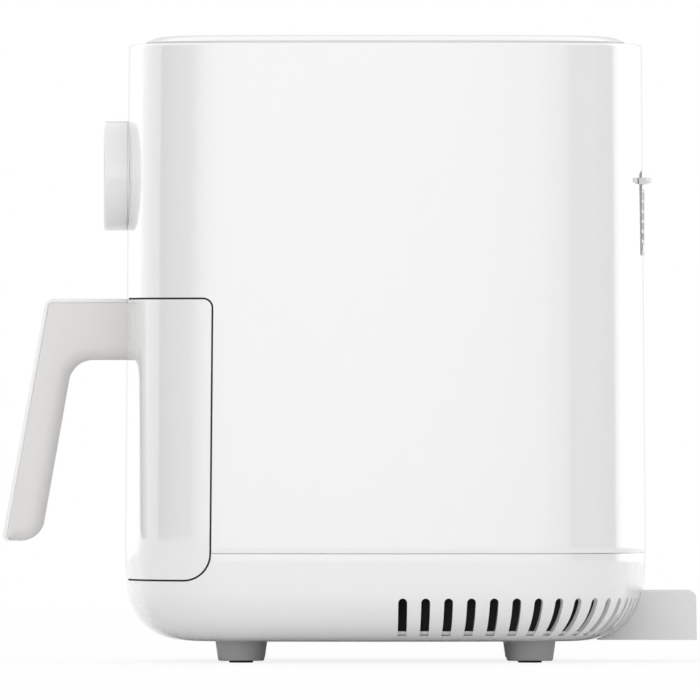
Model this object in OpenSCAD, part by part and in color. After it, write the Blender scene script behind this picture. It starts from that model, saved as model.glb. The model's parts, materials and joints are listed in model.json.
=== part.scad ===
// Compact hot-air fryer with a pull-out drawer.
// Body frame: +Z up, front (drawer and knob) towards -Y, floor at z = 0,
// body centred on the Z axis. in_frame() then centres the whole appliance,
// handle and rear spacer included, on the origin. All sizes in millimetres.

/* [Body] */
// Width and depth of the body at the seam between base and upper shell
body_w = 254; // [250:1:258]
// Width and depth of the body at its top rim
body_top_w = 250; // [248:1:252]
// Height of the whole appliance, feet included
body_h = 304; // [303:0.5:308]
// Corner radius of the body in plan
corner_r = 68; // [66:1:70]
// Radius of the gently bulged sides in plan
side_r = 330; // [320:5:360]
// Thickness of the moulded walls
wall = 2.4; // [2.2:0.1:2.6]
// Height of the seam between base and upper shell
seam_z = 53.1; // [52.5:0.1:54]
// Height of the underside of the base
base_z = 10.4; // [9.8:0.1:11]
// Radius of the rounding under the base
base_round = 27; // [26:0.5:28]
// Lean of the base wall above that rounding, in degrees
base_lean = 3.5; // [3:0.1:4]

/* [Top cover] */
// Distance from the body's edge to the cover's edge
cover_inset = 8.2; // [7.5:0.1:9]
// Rise of the cover above the body's rim
cover_rise = 3.8; // [3.5:0.1:4]
// Width of the soft slope round the cover
cover_slope = 9.7; // [9:0.1:10.5]

/* [Drawer] */
// Height of the drawer front's top edge
drawer_top = 177; // [176:0.5:178]
// Height of the drawer front's bottom edge
drawer_bottom = 39.5; // [39:0.5:41]
// How far back from the body's front the drawer front wraps at the seam
drawer_wrap = 42.6; // [41:0.1:44]
// Thickness of the drawer front
drawer_wall = 2.6; // [2.4:0.1:2.8]
// Gap round the drawer front
drawer_gap = 0.5; // [0.4:0.1:0.7]

/* [Handle] */
// Forward reach of the handle beyond the body
handle_reach = 59.4; // [58:0.2:61]
// Width of the handle
handle_w = 34; // [30:1:38]
// Height of the handle's top face
handle_top = 176.6; // [175.6:0.1:177]
// Height of the underside where the handle meets the drawer
handle_root = 146.7; // [145:0.1:148]
// Height of the handle's lower end
handle_low = 58.6; // [57:0.2:62]
// Thickness of the grip, front to back
grip_t = 18.4; // [17:0.2:20]
// Thickness of the cover strip on the handle
strip_t = 2; // [1.6:0.1:2.4]

/* [Knob] */
// Diameter of the knob
knob_d = 53.4; // [50:0.2:55]
// Height of the knob's axis
knob_z = 236.4; // [234:0.2:238]
// Projection of the knob in front of the body
knob_out = 11.6; // [10.5:0.1:12.5]
// Diameter of the display lens in the knob
lens_d = 38; // [34:1:40]
// Travel of the knob when it is pressed
knob_travel = 0.8; // [0.5:0.1:0.9]

/* [Vents, feet and rear] */
// Width of a vent slot in the base
slot_w = 4.1; // [3.6:0.1:4.6]
// Distance between vent slots, along the outline
slot_pitch = 11.1; // [10.8:0.1:11.3]
// Number of vent slots on each side
slot_n = 16; // [10:1:16]
// Distance of the feet from the centre planes
foot_at = 70; // [66:1:74]
// Diameter of a foot at its top
foot_d = 25; // [23:0.5:27]
// Diameter of the pad under a foot
pad_d = 11.6; // [11:0.2:16]
// Depth of the rear spacer behind the body
spacer_reach = 24.5; // [22:0.5:27]
// Width of the rear spacer
spacer_w = 64; // [56:2:66]
// Half width of the rear exhaust window, in degrees about the side's centre
exhaust_half = 5.4; // [5.2:0.1:5.6]
// Half width of the fin over the exhaust window, in degrees about the side's centre
fin_half = 7.3; // [7:0.1:7.6]

/* [Pan and crisper] */
// Gap between the pan and the chamber's side walls
pan_gap = 6; // [5:0.5:8]
// Corner radius of the pan
pan_r = 50; // [48:1:52]
// Height of the pan's underside
pan_z = 49; // [48.8:0.1:50]
// Height of the pan's rim
pan_rim = 170; // [166:1:171]
// Thickness of the pan's sheet
pan_t = 1.2; // [1:0.1:1.4]

/* [Fan and motor] */
// Radius of the hot-air fan
hot_fan_r = 70; // [66:1:71]
// Radius of the motor's cooling fan
cool_fan_r = 42; // [38:1:44]
// Diameter of the motor shaft
shaft_d = 8; // [8:1:8]
// Radius of the motor
motor_r = 36; // [34:1:38]

/* [Hidden] */

fine = 180;
medium = 64;
small = 32;

// Body plan: four side arcs and four corner arcs, tangent where they meet.
body_half = body_w / 2;
arc_gap = side_r - corner_r;
blend_angle = acos((side_r - body_half) / (arc_gap * sqrt(2))) - 45;
corner_at = arc_gap * sin(blend_angle);
rim_z = body_h - cover_rise;
draft = (body_w - body_top_w) / 2 / (rim_z - seam_z);

// Heights inside the body. The motor and fans share the room between ledge and rim.
ledge_z = 202;
window_low = ledge_z - 4.5;
window_top = window_low + 41.5;
head_room = rim_z - ledge_z;
housing_top = ledge_z + head_room * 0.265;
motor_z = housing_top + head_room * 0.0407;
frame_z = ledge_z + head_room * 0.387;
duct_h = head_room * 0.214;
liner_floor = 44;
heater_z = ledge_z - 10;
guard_z = ledge_z - 20;

// Chamber liner, clear of the body's walls.
liner_w = body_w - 42;
liner_front = -body_half + 45;
liner_rear = body_half - 15;
liner_r = 50;
sheet_t = 0.8;

// Pan, between the drawer's inner panel and the liner's rear wall.
pan_w = liner_w - 2 * pan_gap;
pan_half = pan_w / 2;
pan_lean = 6;
pan_round = 12;
panel_y = -body_half + 21;
pan_front = panel_y + 8;
pan_depth = liner_rear - 12 - pan_front;
pan_mid = pan_front + pan_depth / 2;

// Places of posts and screws, set in from the body's corners and sides.
post_x = corner_at + 14.5;
post_y = corner_at + 38.5;
ledge_screw_at = corner_at + (corner_r - 16.35) / sqrt(2);
boss_x = body_half - 49;
boss_y = body_half - 77;
gland_x = 58;
gland_y = body_half - 13.6;
gland_z = 41;
gland_d = 12;
gland_bore = 7;

front_tip = -(body_half + handle_reach);
rear_tip = body_half + spacer_reach;
handle_slope = (handle_reach - 38) / (handle_top - handle_low);
knob_face = -(body_half - draft * (knob_z - seam_z)) - knob_out;
knob_seat = knob_face + knob_out + 2.3;
boss_back = knob_seat + 3.7;
carrier_y = boss_back;
board_y = carrier_y + 13.5;

// Outward offset of the upper wall at a height, zero at the seam.
function skin(z) = -(z - seam_z) * draft;

function unit(v) = v / norm(v);

function reversed(list) = [for (i = [len(list) - 1:-1:0]) list[i]];

// Arc of radius r that rounds the corner q between its neighbours p and s.
function corner_arc(p, q, s, r, steps) =
    let (a = unit(p - q), b = unit(s - q), half = acos(a * b) / 2,
         centre = q + unit(a + b) * r / sin(half),
         from = q + a * r / tan(half) - centre, to = q + b * r / tan(half) - centre,
         a0 = atan2(from.y, from.x), turn = (atan2(to.y, to.x) - a0 + 540) % 360 - 180)
    [for (i = [0:steps]) centre + r * [cos(a0 + turn * i / steps), sin(a0 + turn * i / steps)]];

// Outline through corners [x, y, radius]; a radius of 0 stays sharp.
function rounded(corners, steps = 8) =
    let (n = len(corners), at = [for (c = corners) [c.x, c.y]])
    [for (i = [0:n - 1]) each corners[i].z == 0 ? [at[i]]
        : corner_arc(at[(i + n - 1) % n], at[i], at[(i + 1) % n], corners[i].z, steps)];

// Places the children, drawn in the body frame, in the appliance's own frame.
module in_frame() {
    translate([0, -(front_tip + rear_tip) / 2, 0]) children();
}

// Extrudes a side outline, drawn in (y, z), across the body.
module across(width) {
    rotate([90, 0, 90]) linear_extrude(height = width, center = true) children();
}

// Sweeps a section, drawn in (outward offset, z), along the middle of the +X side.
module side_sweep(half_angle) {
    translate([body_half - side_r, 0, 0]) rotate([0, 0, -half_angle])
        rotate_extrude(angle = 2 * half_angle, $fn = fine) translate([side_r, 0]) children();
}

// Sweeps a section along an eighth of the body plan, from the middle of the +X side to
// the diagonal, where it is cut so that its mirror image meets it face to face.
module eighth_sweep() {
    intersection() {
        translate([body_half - side_r, 0, 0]) rotate([0, 0, blend_angle]) {
            rotate_extrude(angle = -blend_angle - 0.05, $fn = fine) translate([side_r, 0]) children();
            translate([arc_gap, 0, 0])
                rotate_extrude(angle = 50 - blend_angle, $fn = fine) translate([corner_r, 0]) children();
        }
        rotate([0, 0, 45]) translate([0, -300, 0]) cube([300, 300, 400]);
    }
}

// Sweeps a section round the whole body plan, in eighths.
module around_body() {
    for (quarter = [0:3], flip = [0, 1]) rotate([0, 0, 90 * quarter]) mirror([0, flip, 0])
        eighth_sweep() children();
}

// The same sweep as four whole sides and four whole corners, for sections with many corners.
module around_body_arcs() {
    for (quarter = [0:3]) rotate([0, 0, 90 * quarter]) {
        side_sweep(blend_angle) children();
        translate([corner_at, corner_at, 0]) rotate([0, 0, blend_angle])
            rotate_extrude(angle = 90 - 2 * blend_angle, $fn = fine) translate([corner_r, 0]) children();
    }
}

// Sweeps a section along the front (side = -1) or the rear (side = 1) arc.
module face_sweep(side, half_angle) {
    rotate([0, 0, 90 * side]) side_sweep(half_angle) children();
}

// Square with cut corners that fills the middle of the body plan.
module octagon(half) {
    cut_at = corner_at * sqrt(2) + corner_r - 35.6;
    near = cut_at * sqrt(2) - half;
    polygon([for (quarter = [0:3], end = [[half, -near], [half, near]])
        [end.x * cos(90 * quarter) - end.y * sin(90 * quarter),
         end.x * sin(90 * quarter) + end.y * cos(90 * quarter)]]);
}

// Body plan, moved inwards by inset.
module body_plan(inset) {
    reach = corner_at + corner_r + 20;
    for (quarter = [0:3]) rotate(90 * quarter) {
        translate([corner_at, corner_at]) circle(r = corner_r - inset, $fn = fine);
        intersection() {
            translate([body_half - side_r, 0]) circle(r = side_r - inset, $fn = 2 * fine);
            polygon([[0, 0], [corner_at, corner_at],
                [corner_at + reach * cos(blend_angle), corner_at + reach * sin(blend_angle)],
                [corner_at + reach * cos(blend_angle), -corner_at - reach * sin(blend_angle)],
                [corner_at, -corner_at]]);
        }
    }
}

// Sweeps a section round a rectangle of size w x d with corner radius r.
module around_box(w, d, r) {
    for (side = [0, 180]) rotate([0, 0, side]) {
        translate([w / 2, 0, 0]) rotate([90, 0, 0])
            linear_extrude(height = d - 2 * r, center = true) children();
        translate([0, d / 2, 0]) rotate([90, 0, 90])
            linear_extrude(height = w - 2 * r, center = true) children();
        for (turn = [0, 90]) {
            corner = turn == 0 ? [w / 2 - r, d / 2 - r, 0] : [r - w / 2, d / 2 - r, 0];
            translate(corner) rotate([0, 0, turn])
                rotate_extrude(angle = 90, $fn = medium) translate([r, 0]) children();
        }
    }
}

module box_plan(w, d, r) {
    square([w, d - 2 * r], center = true);
    square([w - 2 * r, d], center = true);
    for (x = [-1, 1], y = [-1, 1]) translate([x * (w / 2 - r), y * (d / 2 - r)]) circle(r = r, $fn = medium);
}

// A disc with a bore, its lower face at z.
module washer(z, h, outer_r, bore_r, fn = medium) {
    translate([0, 0, z]) difference() {
        cylinder(h = h, r = outer_r, $fn = fn);
        translate([0, 0, -1]) cylinder(h = h + 2, r = bore_r, $fn = fn);
    }
}

// Pan-head screw standing on z = 0, its shank pointing down, with a cross recess.
module screw(shank_d, length, head_d, head_h) {
    difference() {
        union() {
            cylinder(h = head_h, d = head_d, $fn = small);
            translate([0, 0, -length]) cylinder(h = length + 0.1, d = shank_d, $fn = small);
        }
        for (turn = [0, 90]) rotate([0, 0, turn])
            translate([-head_d / 4, -head_d / 14, head_h * 0.45]) cube([head_d / 2, head_d / 7, head_h]);
    }
}

// ---- Outlines and sections ----

// Surface of a cup in section, from its bottom up to a height: a wall that leans
// through (0, anchor) and a bottom rounding of radius r, both moved inwards by inset.
function cup_surface(low, r, lean, anchor, inset, top) =
    let (z = low + r, u = -(anchor - z + r * sin(lean)) * tan(lean) - r * cos(lean), steps = 10,
         arc = [for (i = [0:steps]) let (a = -90 + (90 - lean) * i / steps)
             [u, z] + (r - inset) * [cos(a), sin(a)]])
    concat(arc, [arc[steps] + (top - arc[steps].y) * [tan(lean), 1]]);

// Wall of a cup in section, t thick, its floor reaching inwards to u = -reach.
module cup_wall(low, r, lean, anchor, t, reach, top) {
    polygon(concat([[-reach, low]], cup_surface(low, r, lean, anchor, 0, top),
        reversed(cup_surface(low, r, lean, anchor, t, top)), [[-reach, low + t]]));
}

// Base in section, filled inwards up to a height, its surface moved outwards by grow.
module base_fill(grow, top) {
    polygon(concat([[-60, base_z - grow]], cup_surface(base_z, base_round, base_lean, seam_z, -grow, top),
        [[-60, top]]));
}

// Side outline of the drawer opening, its edges moved inwards by gap.
module drawer_outline(gap) {
    rear_top = -body_half + drawer_wrap + 1.2 - gap;
    rear_low = -body_half + drawer_wrap - gap;
    polygon(rounded([[-160, drawer_bottom + gap, 0], [rear_low, drawer_bottom + gap, 13.6 - gap],
        [rear_top, drawer_top - gap, 5 - gap], [-160, drawer_top - gap, 0]]));
}

// Positions of the vent slots: distances along the outline from the +X side's middle.
function slot_distances() = [for (i = [0:slot_n - 1]) 7.6 + slot_pitch * i];

// Moves the children to the outline at a distance from the +X side's middle,
// their own X axis pointing outwards.
module at_outline(distance) {
    side_end = side_r * blend_angle * PI / 180;
    corner_end = side_end + corner_r * (90 - 2 * blend_angle) * PI / 180;
    if (distance <= side_end)
        translate([body_half - side_r, 0, 0]) rotate([0, 0, distance / side_r * 180 / PI])
            translate([side_r, 0, 0]) children();
    else if (distance <= corner_end)
        translate([corner_at, corner_at, 0])
            rotate([0, 0, blend_angle + (distance - side_end) / corner_r * 180 / PI])
                translate([corner_r, 0, 0]) children();
    else
        translate([0, body_half - side_r, 0])
            rotate([0, 0, 90 - blend_angle + (distance - corner_end) / side_r * 180 / PI])
                translate([side_r, 0, 0]) children();
}

// Cutter of one vent slot, square below and round above.
module slot_cutter() {
    top = base_z + 21.1 - slot_w / 2;
    translate([-26, -slot_w / 2, base_z + 2.9]) cube([34, slot_w, top - base_z - 2.9]);
    translate([-26, 0, top]) rotate([0, 90, 0]) cylinder(h = 34, d = slot_w, $fn = small);
}

// ---- Housing ----

module upper_shell() {
    top_u = skin(rim_z);
    rim_in = top_u - 22;
    ledge_in = skin(ledge_z) - 19.8;
    color("white") difference() {
        union() {
            around_body() {
                polygon([[0, seam_z + 0.3], [skin(rim_z - 1.5), rim_z - 1.5], [top_u - 1.5, rim_z],
                    [rim_in, rim_z], [rim_in, rim_z - wall], [top_u - wall, rim_z - wall],
                    [skin(ledge_z) - wall, ledge_z + wall], [ledge_in, ledge_z + wall],
                    [ledge_in, ledge_z], [skin(ledge_z) - wall, ledge_z], [-wall, seam_z + 0.3]]);
                translate([top_u - 1.5, rim_z - 1.5]) circle(r = 1.5, $fn = small);
            }
            translate([0, boss_back, knob_z]) rotate([90, 0, 0])
                cylinder(h = boss_back - knob_seat, d = knob_d + 9, $fn = medium);
            for (x = [-1, 1], y = [-1, 1]) frame_post(x, y);
        }
        across(3 * body_w) drawer_outline(0);
        translate([0, knob_seat, knob_z]) rotate([90, 0, 0]) cylinder(h = 9, d = knob_d + 1.2, $fn = fine);
        translate([0, knob_seat + 9, knob_z]) rotate([90, 0, 0]) cylinder(h = 20, d = 22, $fn = medium);
        exhaust_window();
        for (x = [-1, 1], y = [-1, 1]) {
            translate([ledge_screw_at * x, ledge_screw_at * y, ledge_z - 1])
                cylinder(h = wall + 2, d = 4.1, $fn = small);
            translate([post_x * x, post_y * y, frame_z - 12]) cylinder(h = 13, d = 3.1, $fn = small);
        }
    }
}

// Post that carries the inner frame, standing on the shell's ledge.
module frame_post(x, y) {
    rib_end = body_half + skin(frame_z) - 7.5;
    translate([post_x * x, post_y * y, ledge_z + 1]) cylinder(h = frame_z - ledge_z - 1, d = 9, $fn = small);
    translate([post_x * x - 1.5, y > 0 ? post_y : -rib_end, ledge_z + 1]) cube([3, rib_end - post_y, 19]);
}

// Exhaust window in the rear wall, with a wider clearance in the ledge for the duct.
module exhaust_window() {
    duct_room = asin((duct_w / 2 + 3) / side_r);
    face_sweep(1, exhaust_half) translate([-26, window_low]) square([36, window_top - window_low]);
    face_sweep(1, duct_room) translate([-26, ledge_z - 1]) square([21.4, wall + 4]);
}

module base_shell() {
    floor_top = base_z + wall;
    color("white") difference() {
        union() {
            around_body_arcs() cup_wall(base_z, base_round, base_lean, seam_z, wall, 40, seam_z - 0.3);
            around_body_arcs() polygon([[-2.5, 44], [-2.5, 46], [-2.7, seam_z + 4], [-4.4, seam_z + 4],
                [-4.4, 44]]);
            translate([0, 0, base_z]) linear_extrude(height = wall) octagon(body_half - 37);
            for (x = [-1, 1], y = [-1, 1]) translate([boss_x * x, boss_y * y, floor_top])
                cylinder(h = liner_floor - floor_top, d = 14, $fn = small);
        }
        across(3 * body_w) drawer_outline(0);
        for (side = [0, 1]) mirror([side, 0, 0])
            for (distance = slot_distances()) at_outline(distance) slot_cutter();
        for (x = [-1, 1], y = [-1, 1]) {
            translate([boss_x * x, boss_y * y, base_z - 1]) cylinder(h = 40, d = 4.1, $fn = small);
            translate([boss_x * x, boss_y * y, base_z - 1]) cylinder(h = 13, d = 9, $fn = small);
            translate([foot_at * x, foot_at * y, base_z - 1]) cylinder(h = 6, d = 8, $fn = small);
        }
        translate([-gland_x, 0, gland_z]) rotate([-90, 0, 0]) {
            cylinder(h = 200, d = gland_d, $fn = medium);
            cylinder(h = gland_y + 3.05, d = gland_d + 4.4, $fn = medium);
        }
    }
}

module top_cover() {
    slope_h = body_h - rim_z - 1;
    slope_r = (pow(cover_slope, 2) + pow(slope_h, 2)) / 2 / slope_h;
    edge_u = skin(rim_z) - cover_inset;
    flat_u = edge_u - cover_slope;
    steps = 8;
    color("white") union() {
        around_body_arcs() polygon(concat([[-40, rim_z], [edge_u - 2.4, rim_z], [edge_u - 2.4, rim_z + 1]],
            [for (i = [steps:-1:0]) let (a = asin(cover_slope / slope_r) * i / steps)
                [flat_u, body_h - slope_r] + slope_r * [sin(a), cos(a)]],
            [[-40, body_h]]));
        translate([0, 0, rim_z]) linear_extrude(height = body_h - rim_z) body_plan(39);
        around_body_arcs() translate([skin(rim_z) - 26.5, rim_z - 3]) square([2, 3.2]);
    }
}

// One foot: a tapered cup with a softened lower edge.
module foot(x, y) {
    low = 0.9;
    translate([foot_at * x, foot_at * y, 0]) color("dimgray") difference() {
        union() {
            translate([0, 0, low + 0.8]) cylinder(h = base_z - low - 0.8, r1 = foot_d / 2 - 1.25,
                r2 = foot_d / 2, $fn = medium);
            translate([0, 0, low])
                cylinder(h = 0.8, r1 = foot_d / 2 - 2, r2 = foot_d / 2 - 1.25, $fn = medium);
            translate([0, 0, base_z]) cylinder(h = 4, d = 7.8, $fn = small);
        }
        translate([0, 0, low - 1]) cylinder(h = 2.6, d = pad_d + 0.2, $fn = medium);
    }
}

module foot_pads() {
    color("black") for (x = [-1, 1], y = [-1, 1])
        translate([foot_at * x, foot_at * y, 0]) {
            cylinder(h = 0.4, d1 = pad_d - 0.8, d2 = pad_d, $fn = medium);
            translate([0, 0, 0.4]) cylinder(h = 2.1, d = pad_d, $fn = medium);
        }
}

// Louvred grille, following the curved rear wall, with a deflector fin above it.
module rear_exhaust_grille() {
    bar = 1.9;
    pitch = 4.86;
    inner = -4.5;
    proud = skin(window_top) + 1.1;
    fin_root = skin(window_top) + 0.3;
    fin_out = fin_root + 3.9;
    half = exhaust_half - 0.1;
    height = window_top - window_low;
    color("silver") union() {
        for (i = [0:5]) face_sweep(1, half) translate([inner, window_low + 6 + pitch * i])
            square([proud - inner, bar]);
        face_sweep(1, half) translate([inner, window_low + 0.3]) square([-0.5 - inner, 2]);
        face_sweep(1, half) translate([inner, window_top - 6.8]) square([fin_root + 1 - inner, 3]);
        face_sweep(1, fin_half) translate([0, window_top])
            polygon([[fin_root, -3.6], [fin_out, -3.6], [fin_out, -5.8], [fin_root, -6.9]]);
        for (side = [-1, 0, 1]) rotate([0, 0, 90])
            translate([body_half - side_r, 0, 0]) rotate([0, 0, side * (half - 0.5) - 0.15])
                rotate_extrude(angle = 0.3, $fn = fine) translate([side_r, window_low])
                    polygon([[inner, 0.3], [-1.2, 0.3], [-1.9, height - 0.3], [inner, height - 0.3]]);
    }
}

// Stand-off that keeps the warm rear side away from a wall, open underneath.
module rear_spacer() {
    foot_z = base_z + 0.2;
    top = 34.5;
    module outline(inset) {
        polygon(rounded([[body_half - 24, foot_z - (inset > 0 ? 1 : 0), 0],
            [rear_tip - inset, foot_z - (inset > 0 ? 1 : 0), 0],
            [rear_tip - 0.4 - inset, top - inset, 3.4 - inset], [body_half - 24, top - inset, 0]]));
    }
    color("lightgray") difference() {
        across(spacer_w) outline(0);
        across(spacer_w - 5) outline(2.5);
        face_sweep(1, 14) base_fill(0.05, 60);
        translate([-100, -50, 0]) cube([200, body_half + 46, 60]);
    }
    color("lightgray") for (x = [-1, 0, 1]) intersection() {
        translate([x * (spacer_w / 4) - 1, body_half - 22, foot_z]) cube([2, 45.5, 22.5]);
        difference() {
            across(spacer_w) outline(0);
            face_sweep(1, 14) base_fill(0.05, 60);
        }
    }
}

// Bush for the mains cord: a flange inside the base's rear wall, a barrel through it.
module cord_gland() {
    length = 10.6;
    color("dimgray") translate([-gland_x, gland_y, gland_z]) rotate([-90, 0, 0]) difference() {
        union() {
            cylinder(h = length, d = gland_d - 0.1, $fn = medium);
            cylinder(h = 3, d = gland_d + 4, $fn = medium);
        }
        translate([0, 0, -1]) cylinder(h = length + 2, d = gland_bore, $fn = medium);
    }
}

// ---- Chamber, heater and fan housing ----

heater_r = 76;
heater_step = 14;
heater_t = 3.2;
heater_bend = 6;
// The heater's two ends: angle of the ring's end and distance of the upright from the axis.
heater_ends = [[22, heater_r], [8, heater_r + 4]];

// Plan of the chamber liner: square at the open front, rounded at the rear.
module liner_plan(inset) {
    w = liner_w / 2 - inset;
    front = liner_front - (inset > 0 ? 1 : 0);
    polygon(rounded([[-w, front, 0], [w, front, 0],
        [w, liner_rear - inset, liner_r - inset], [-w, liner_rear - inset, liner_r - inset]], 12));
}

// Side and rear walls of the chamber, with a header over its open front.
module chamber_liner() {
    header_h = 16;
    low = liner_floor + sheet_t;
    high = ledge_z - sheet_t;
    color("silver") difference() {
        translate([0, 0, low]) linear_extrude(height = high - low) liner_plan(0);
        translate([0, 0, low - 1]) linear_extrude(height = high - low + 2) liner_plan(sheet_t);
    }
    color("silver") translate([-liner_w / 2, liner_front, high - header_h])
        cube([liner_w, sheet_t, header_h]);
}

module liner_floor_plate() {
    color("silver") translate([0, 0, liner_floor]) linear_extrude(height = sheet_t) difference() {
        liner_plan(0);
        for (x = [-1, 1], y = [-1, 1]) translate([boss_x * x, boss_y * y]) circle(d = 4.1, $fn = small);
    }
}

// Plate over the chamber, screwed up to the shell's ledge, open under the fan.
module liner_ceiling() {
    color("silver") translate([0, 0, ledge_z - sheet_t]) linear_extrude(height = sheet_t) difference() {
        intersection() {
            body_plan(11 - skin(ledge_z));
            translate([-body_w / 2, liner_front - 22]) square([body_w, body_w - 34]);
        }
        circle(r = 84, $fn = fine);
        for (x = [-1, 1], y = [-1, 1])
            translate([ledge_screw_at * x, ledge_screw_at * y]) circle(d = 4.1, $fn = small);
    }
}

// Two glide strips on the liner's floor, just under the pan.
module pan_rails() {
    height = pan_z - 0.3 - liner_floor - sheet_t;
    color("silver") for (x = [-1, 1])
        translate([x * (pan_half - 38) - 5, liner_front + 6, liner_floor + sheet_t])
            cube([10, liner_rear - liner_front - 34, height]);
}

// Leaf springs on the liner's sides that hold the pan's flange when it is shut.
module pan_detents() {
    color("silver") for (side = [0, 1]) mirror([side, 0, 0])
        translate([liner_w / 2 - sheet_t, 0, pan_rim - 22]) linear_extrude(height = 12)
            polygon([[0, -20], [-0.6, -20], [-4.6, -4], [-4.6, 0], [-0.6, 20], [0, 20]]);
}

fan_room_r = hot_fan_r + 18;
duct_w = 90;

module fan_housing() {
    r = fan_room_r;
    color("silver") difference() {
        union() {
            translate([0, 0, ledge_z]) cylinder(h = housing_top - ledge_z, r = r, $fn = fine);
            translate([0, 0, ledge_z]) cylinder(h = sheet_t, r = r + 7, $fn = fine);
        }
        translate([0, 0, ledge_z - 1])
            cylinder(h = housing_top - ledge_z + 1 - sheet_t, r = r - sheet_t, $fn = fine);
        translate([0, 0, housing_top - 2]) cylinder(h = 4, r = 12, $fn = medium);
        for (end = heater_ends) rotate([0, 0, end.x])
            translate([end.y, -heater_bend, housing_top - 2])
                cylinder(h = 4, r = heater_t + 0.5, $fn = small);
        translate([-duct_w / 2 + 1, 60, ledge_z + 3]) cube([duct_w - 2, 60, duct_h - 2]);
    }
}

// Flat tube from the fan housing to the rear grille.
module exhaust_duct() {
    color("silver") difference() {
        translate([-duct_w / 2, 70, ledge_z + 2]) cube([duct_w, body_half - 8.2 - 70, duct_h]);
        translate([-duct_w / 2 + 1, 60, ledge_z + 3]) cube([duct_w - 2, 2 * body_half, duct_h - 2]);
        translate([0, 0, ledge_z]) cylinder(h = 40, r = fan_room_r, $fn = fine);
    }
}

// Ring of heater tube that ends on the +X axis after running back through an angle.
module tube_arc(r, angle) {
    rotate_extrude(angle = -angle, $fn = fine) translate([r, 0]) circle(r = heater_t, $fn = small);
}

// Quarter bend of heater tube that starts along +X and ends upright.
module tube_elbow() {
    translate([0, 0, heater_bend]) rotate([90, 0, 0]) rotate([0, 0, -90])
        rotate_extrude(angle = 90, $fn = medium)
            translate([heater_bend, 0]) circle(r = heater_t, $fn = small);
    translate([heater_bend, 0, heater_bend])
        cylinder(h = motor_z + 4 - heater_z - heater_bend, r = heater_t, $fn = small);
}

// Heating element: an outer ring, a hairpin and an inner ring, both ends turned up.
module heater_coil() {
    inner_r = heater_r - heater_step;
    hairpin = 346;
    outer_end = heater_ends[0];
    inner_end = heater_ends[1];
    color("darkgray") translate([0, 0, heater_z]) {
        rotate([0, 0, hairpin]) {
            tube_arc(heater_r, hairpin - outer_end.x);
            tube_arc(inner_r, hairpin - inner_end.x);
            translate([heater_r - heater_step / 2, 0, 0]) rotate_extrude(angle = 180, $fn = medium)
                translate([heater_step / 2, 0]) circle(r = heater_t, $fn = small);
        }
        rotate([0, 0, outer_end.x]) translate([heater_r, 0, 0]) rotate([0, 0, -90]) tube_elbow();
        rotate([0, 0, inner_end.x]) {
            translate([inner_r + heater_bend, 0, 0]) rotate([0, 0, 180])
                rotate_extrude(angle = 90, $fn = medium)
                    translate([heater_bend, 0]) circle(r = heater_t, $fn = small);
            translate([inner_r + heater_bend, -heater_bend, 0]) rotate([0, 90, 0])
                cylinder(h = inner_end.y - inner_r - 2 * heater_bend, r = heater_t, $fn = small);
            translate([inner_end.y - heater_bend, -heater_bend, 0]) tube_elbow();
        }
    }
}

// Three straps that hang the heater from the liner's top plate.
module heater_clips() {
    mid_r = heater_r - heater_step / 2;
    top = ledge_z - sheet_t;
    low = heater_z - heater_t;
    color("silver") for (turn = [60, 180, 300]) rotate([0, 0, turn]) {
        translate([mid_r - 12, -4, low - 1.5]) cube([24, 8, 1.5]);
        translate([mid_r - 1, -4, low - 1.5]) cube([2, 8, top - low + 1.5]);
        translate([mid_r - 1, -4, top - 1.5]) cube([24, 8, 1.5]);
    }
}

// Guard of flat rings welded on bars, hung below the heater on four posts.
module heater_guard() {
    ring_h = 1.4;
    bar = 2.4;
    post_r = 89;
    color("silver") {
        for (r = [22, 44, 66, 86]) washer(guard_z, ring_h, r + 1, r - 1, fine);
        for (turn = [45, 135]) rotate([0, 0, turn])
            translate([-post_r, -bar / 2, guard_z - 1.4]) cube([2 * post_r, bar, 1.8]);
        for (turn = [0:3]) rotate([0, 0, 45 + 90 * turn])
            translate([post_r - bar - 0.5, -2, guard_z - 1.6])
                cube([bar, 4, ledge_z - sheet_t - guard_z + 1.6]);
    }
}

// ---- Motor and fans ----

grommet_r = 60;

module motor_grommets() {
    color("black") for (turn = [30, 150, 270]) rotate([0, 0, turn]) translate([grommet_r, 0, 0])
        washer(housing_top, 2.5, 6, 2.05, small);
}

module motor_bracket() {
    low = housing_top + 2.5;
    color("silver") difference() {
        translate([0, 0, low]) linear_extrude(height = motor_z - low) {
            circle(r = motor_r + 4, $fn = medium);
            for (turn = [30, 150, 270]) rotate(turn) {
                translate([20, -7]) square([grommet_r - 20, 14]);
                translate([grommet_r, 0]) circle(r = 7, $fn = small);
            }
        }
        translate([0, 0, low - 1]) cylinder(h = 5, r = 12, $fn = medium);
        for (turn = [30, 150, 270]) rotate([0, 0, turn]) translate([grommet_r, 0, low - 1])
            cylinder(h = 5, d = 4.1, $fn = small);
    }
}

bearing_r = 11;
bearing_h = 7;
upper_end_z = motor_z + head_room * 0.275;

// Motor end with the seat of a bearing.
module motor_end(z, h, seat_z) {
    color("dimgray") difference() {
        washer(z, h, motor_r, shaft_d / 2 + 1.5, fine);
        translate([0, 0, seat_z]) cylinder(h = bearing_h, r = bearing_r, $fn = medium);
    }
}

module motor_lower_end() {
    motor_end(motor_z, 8, motor_z + 1);
}

module motor_upper_end() {
    motor_end(upper_end_z, 8, upper_end_z);
}

// Laminated stator with its bore.
module motor_stator() {
    color("peru") washer(motor_z + 8, upper_end_z - motor_z - 8, motor_r - 1, 17.6, fine);
}

module motor_bearings() {
    color("lightgray") {
        washer(motor_z + 1, bearing_h, bearing_r, shaft_d / 2 + 0.03);
        washer(upper_end_z, bearing_h, bearing_r, shaft_d / 2 + 0.03);
    }
}

module motor_shaft() {
    color("silver") translate([0, 0, ledge_z])
        cylinder(h = motor_z - ledge_z + head_room * 0.57, d = shaft_d, $fn = medium);
}

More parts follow.
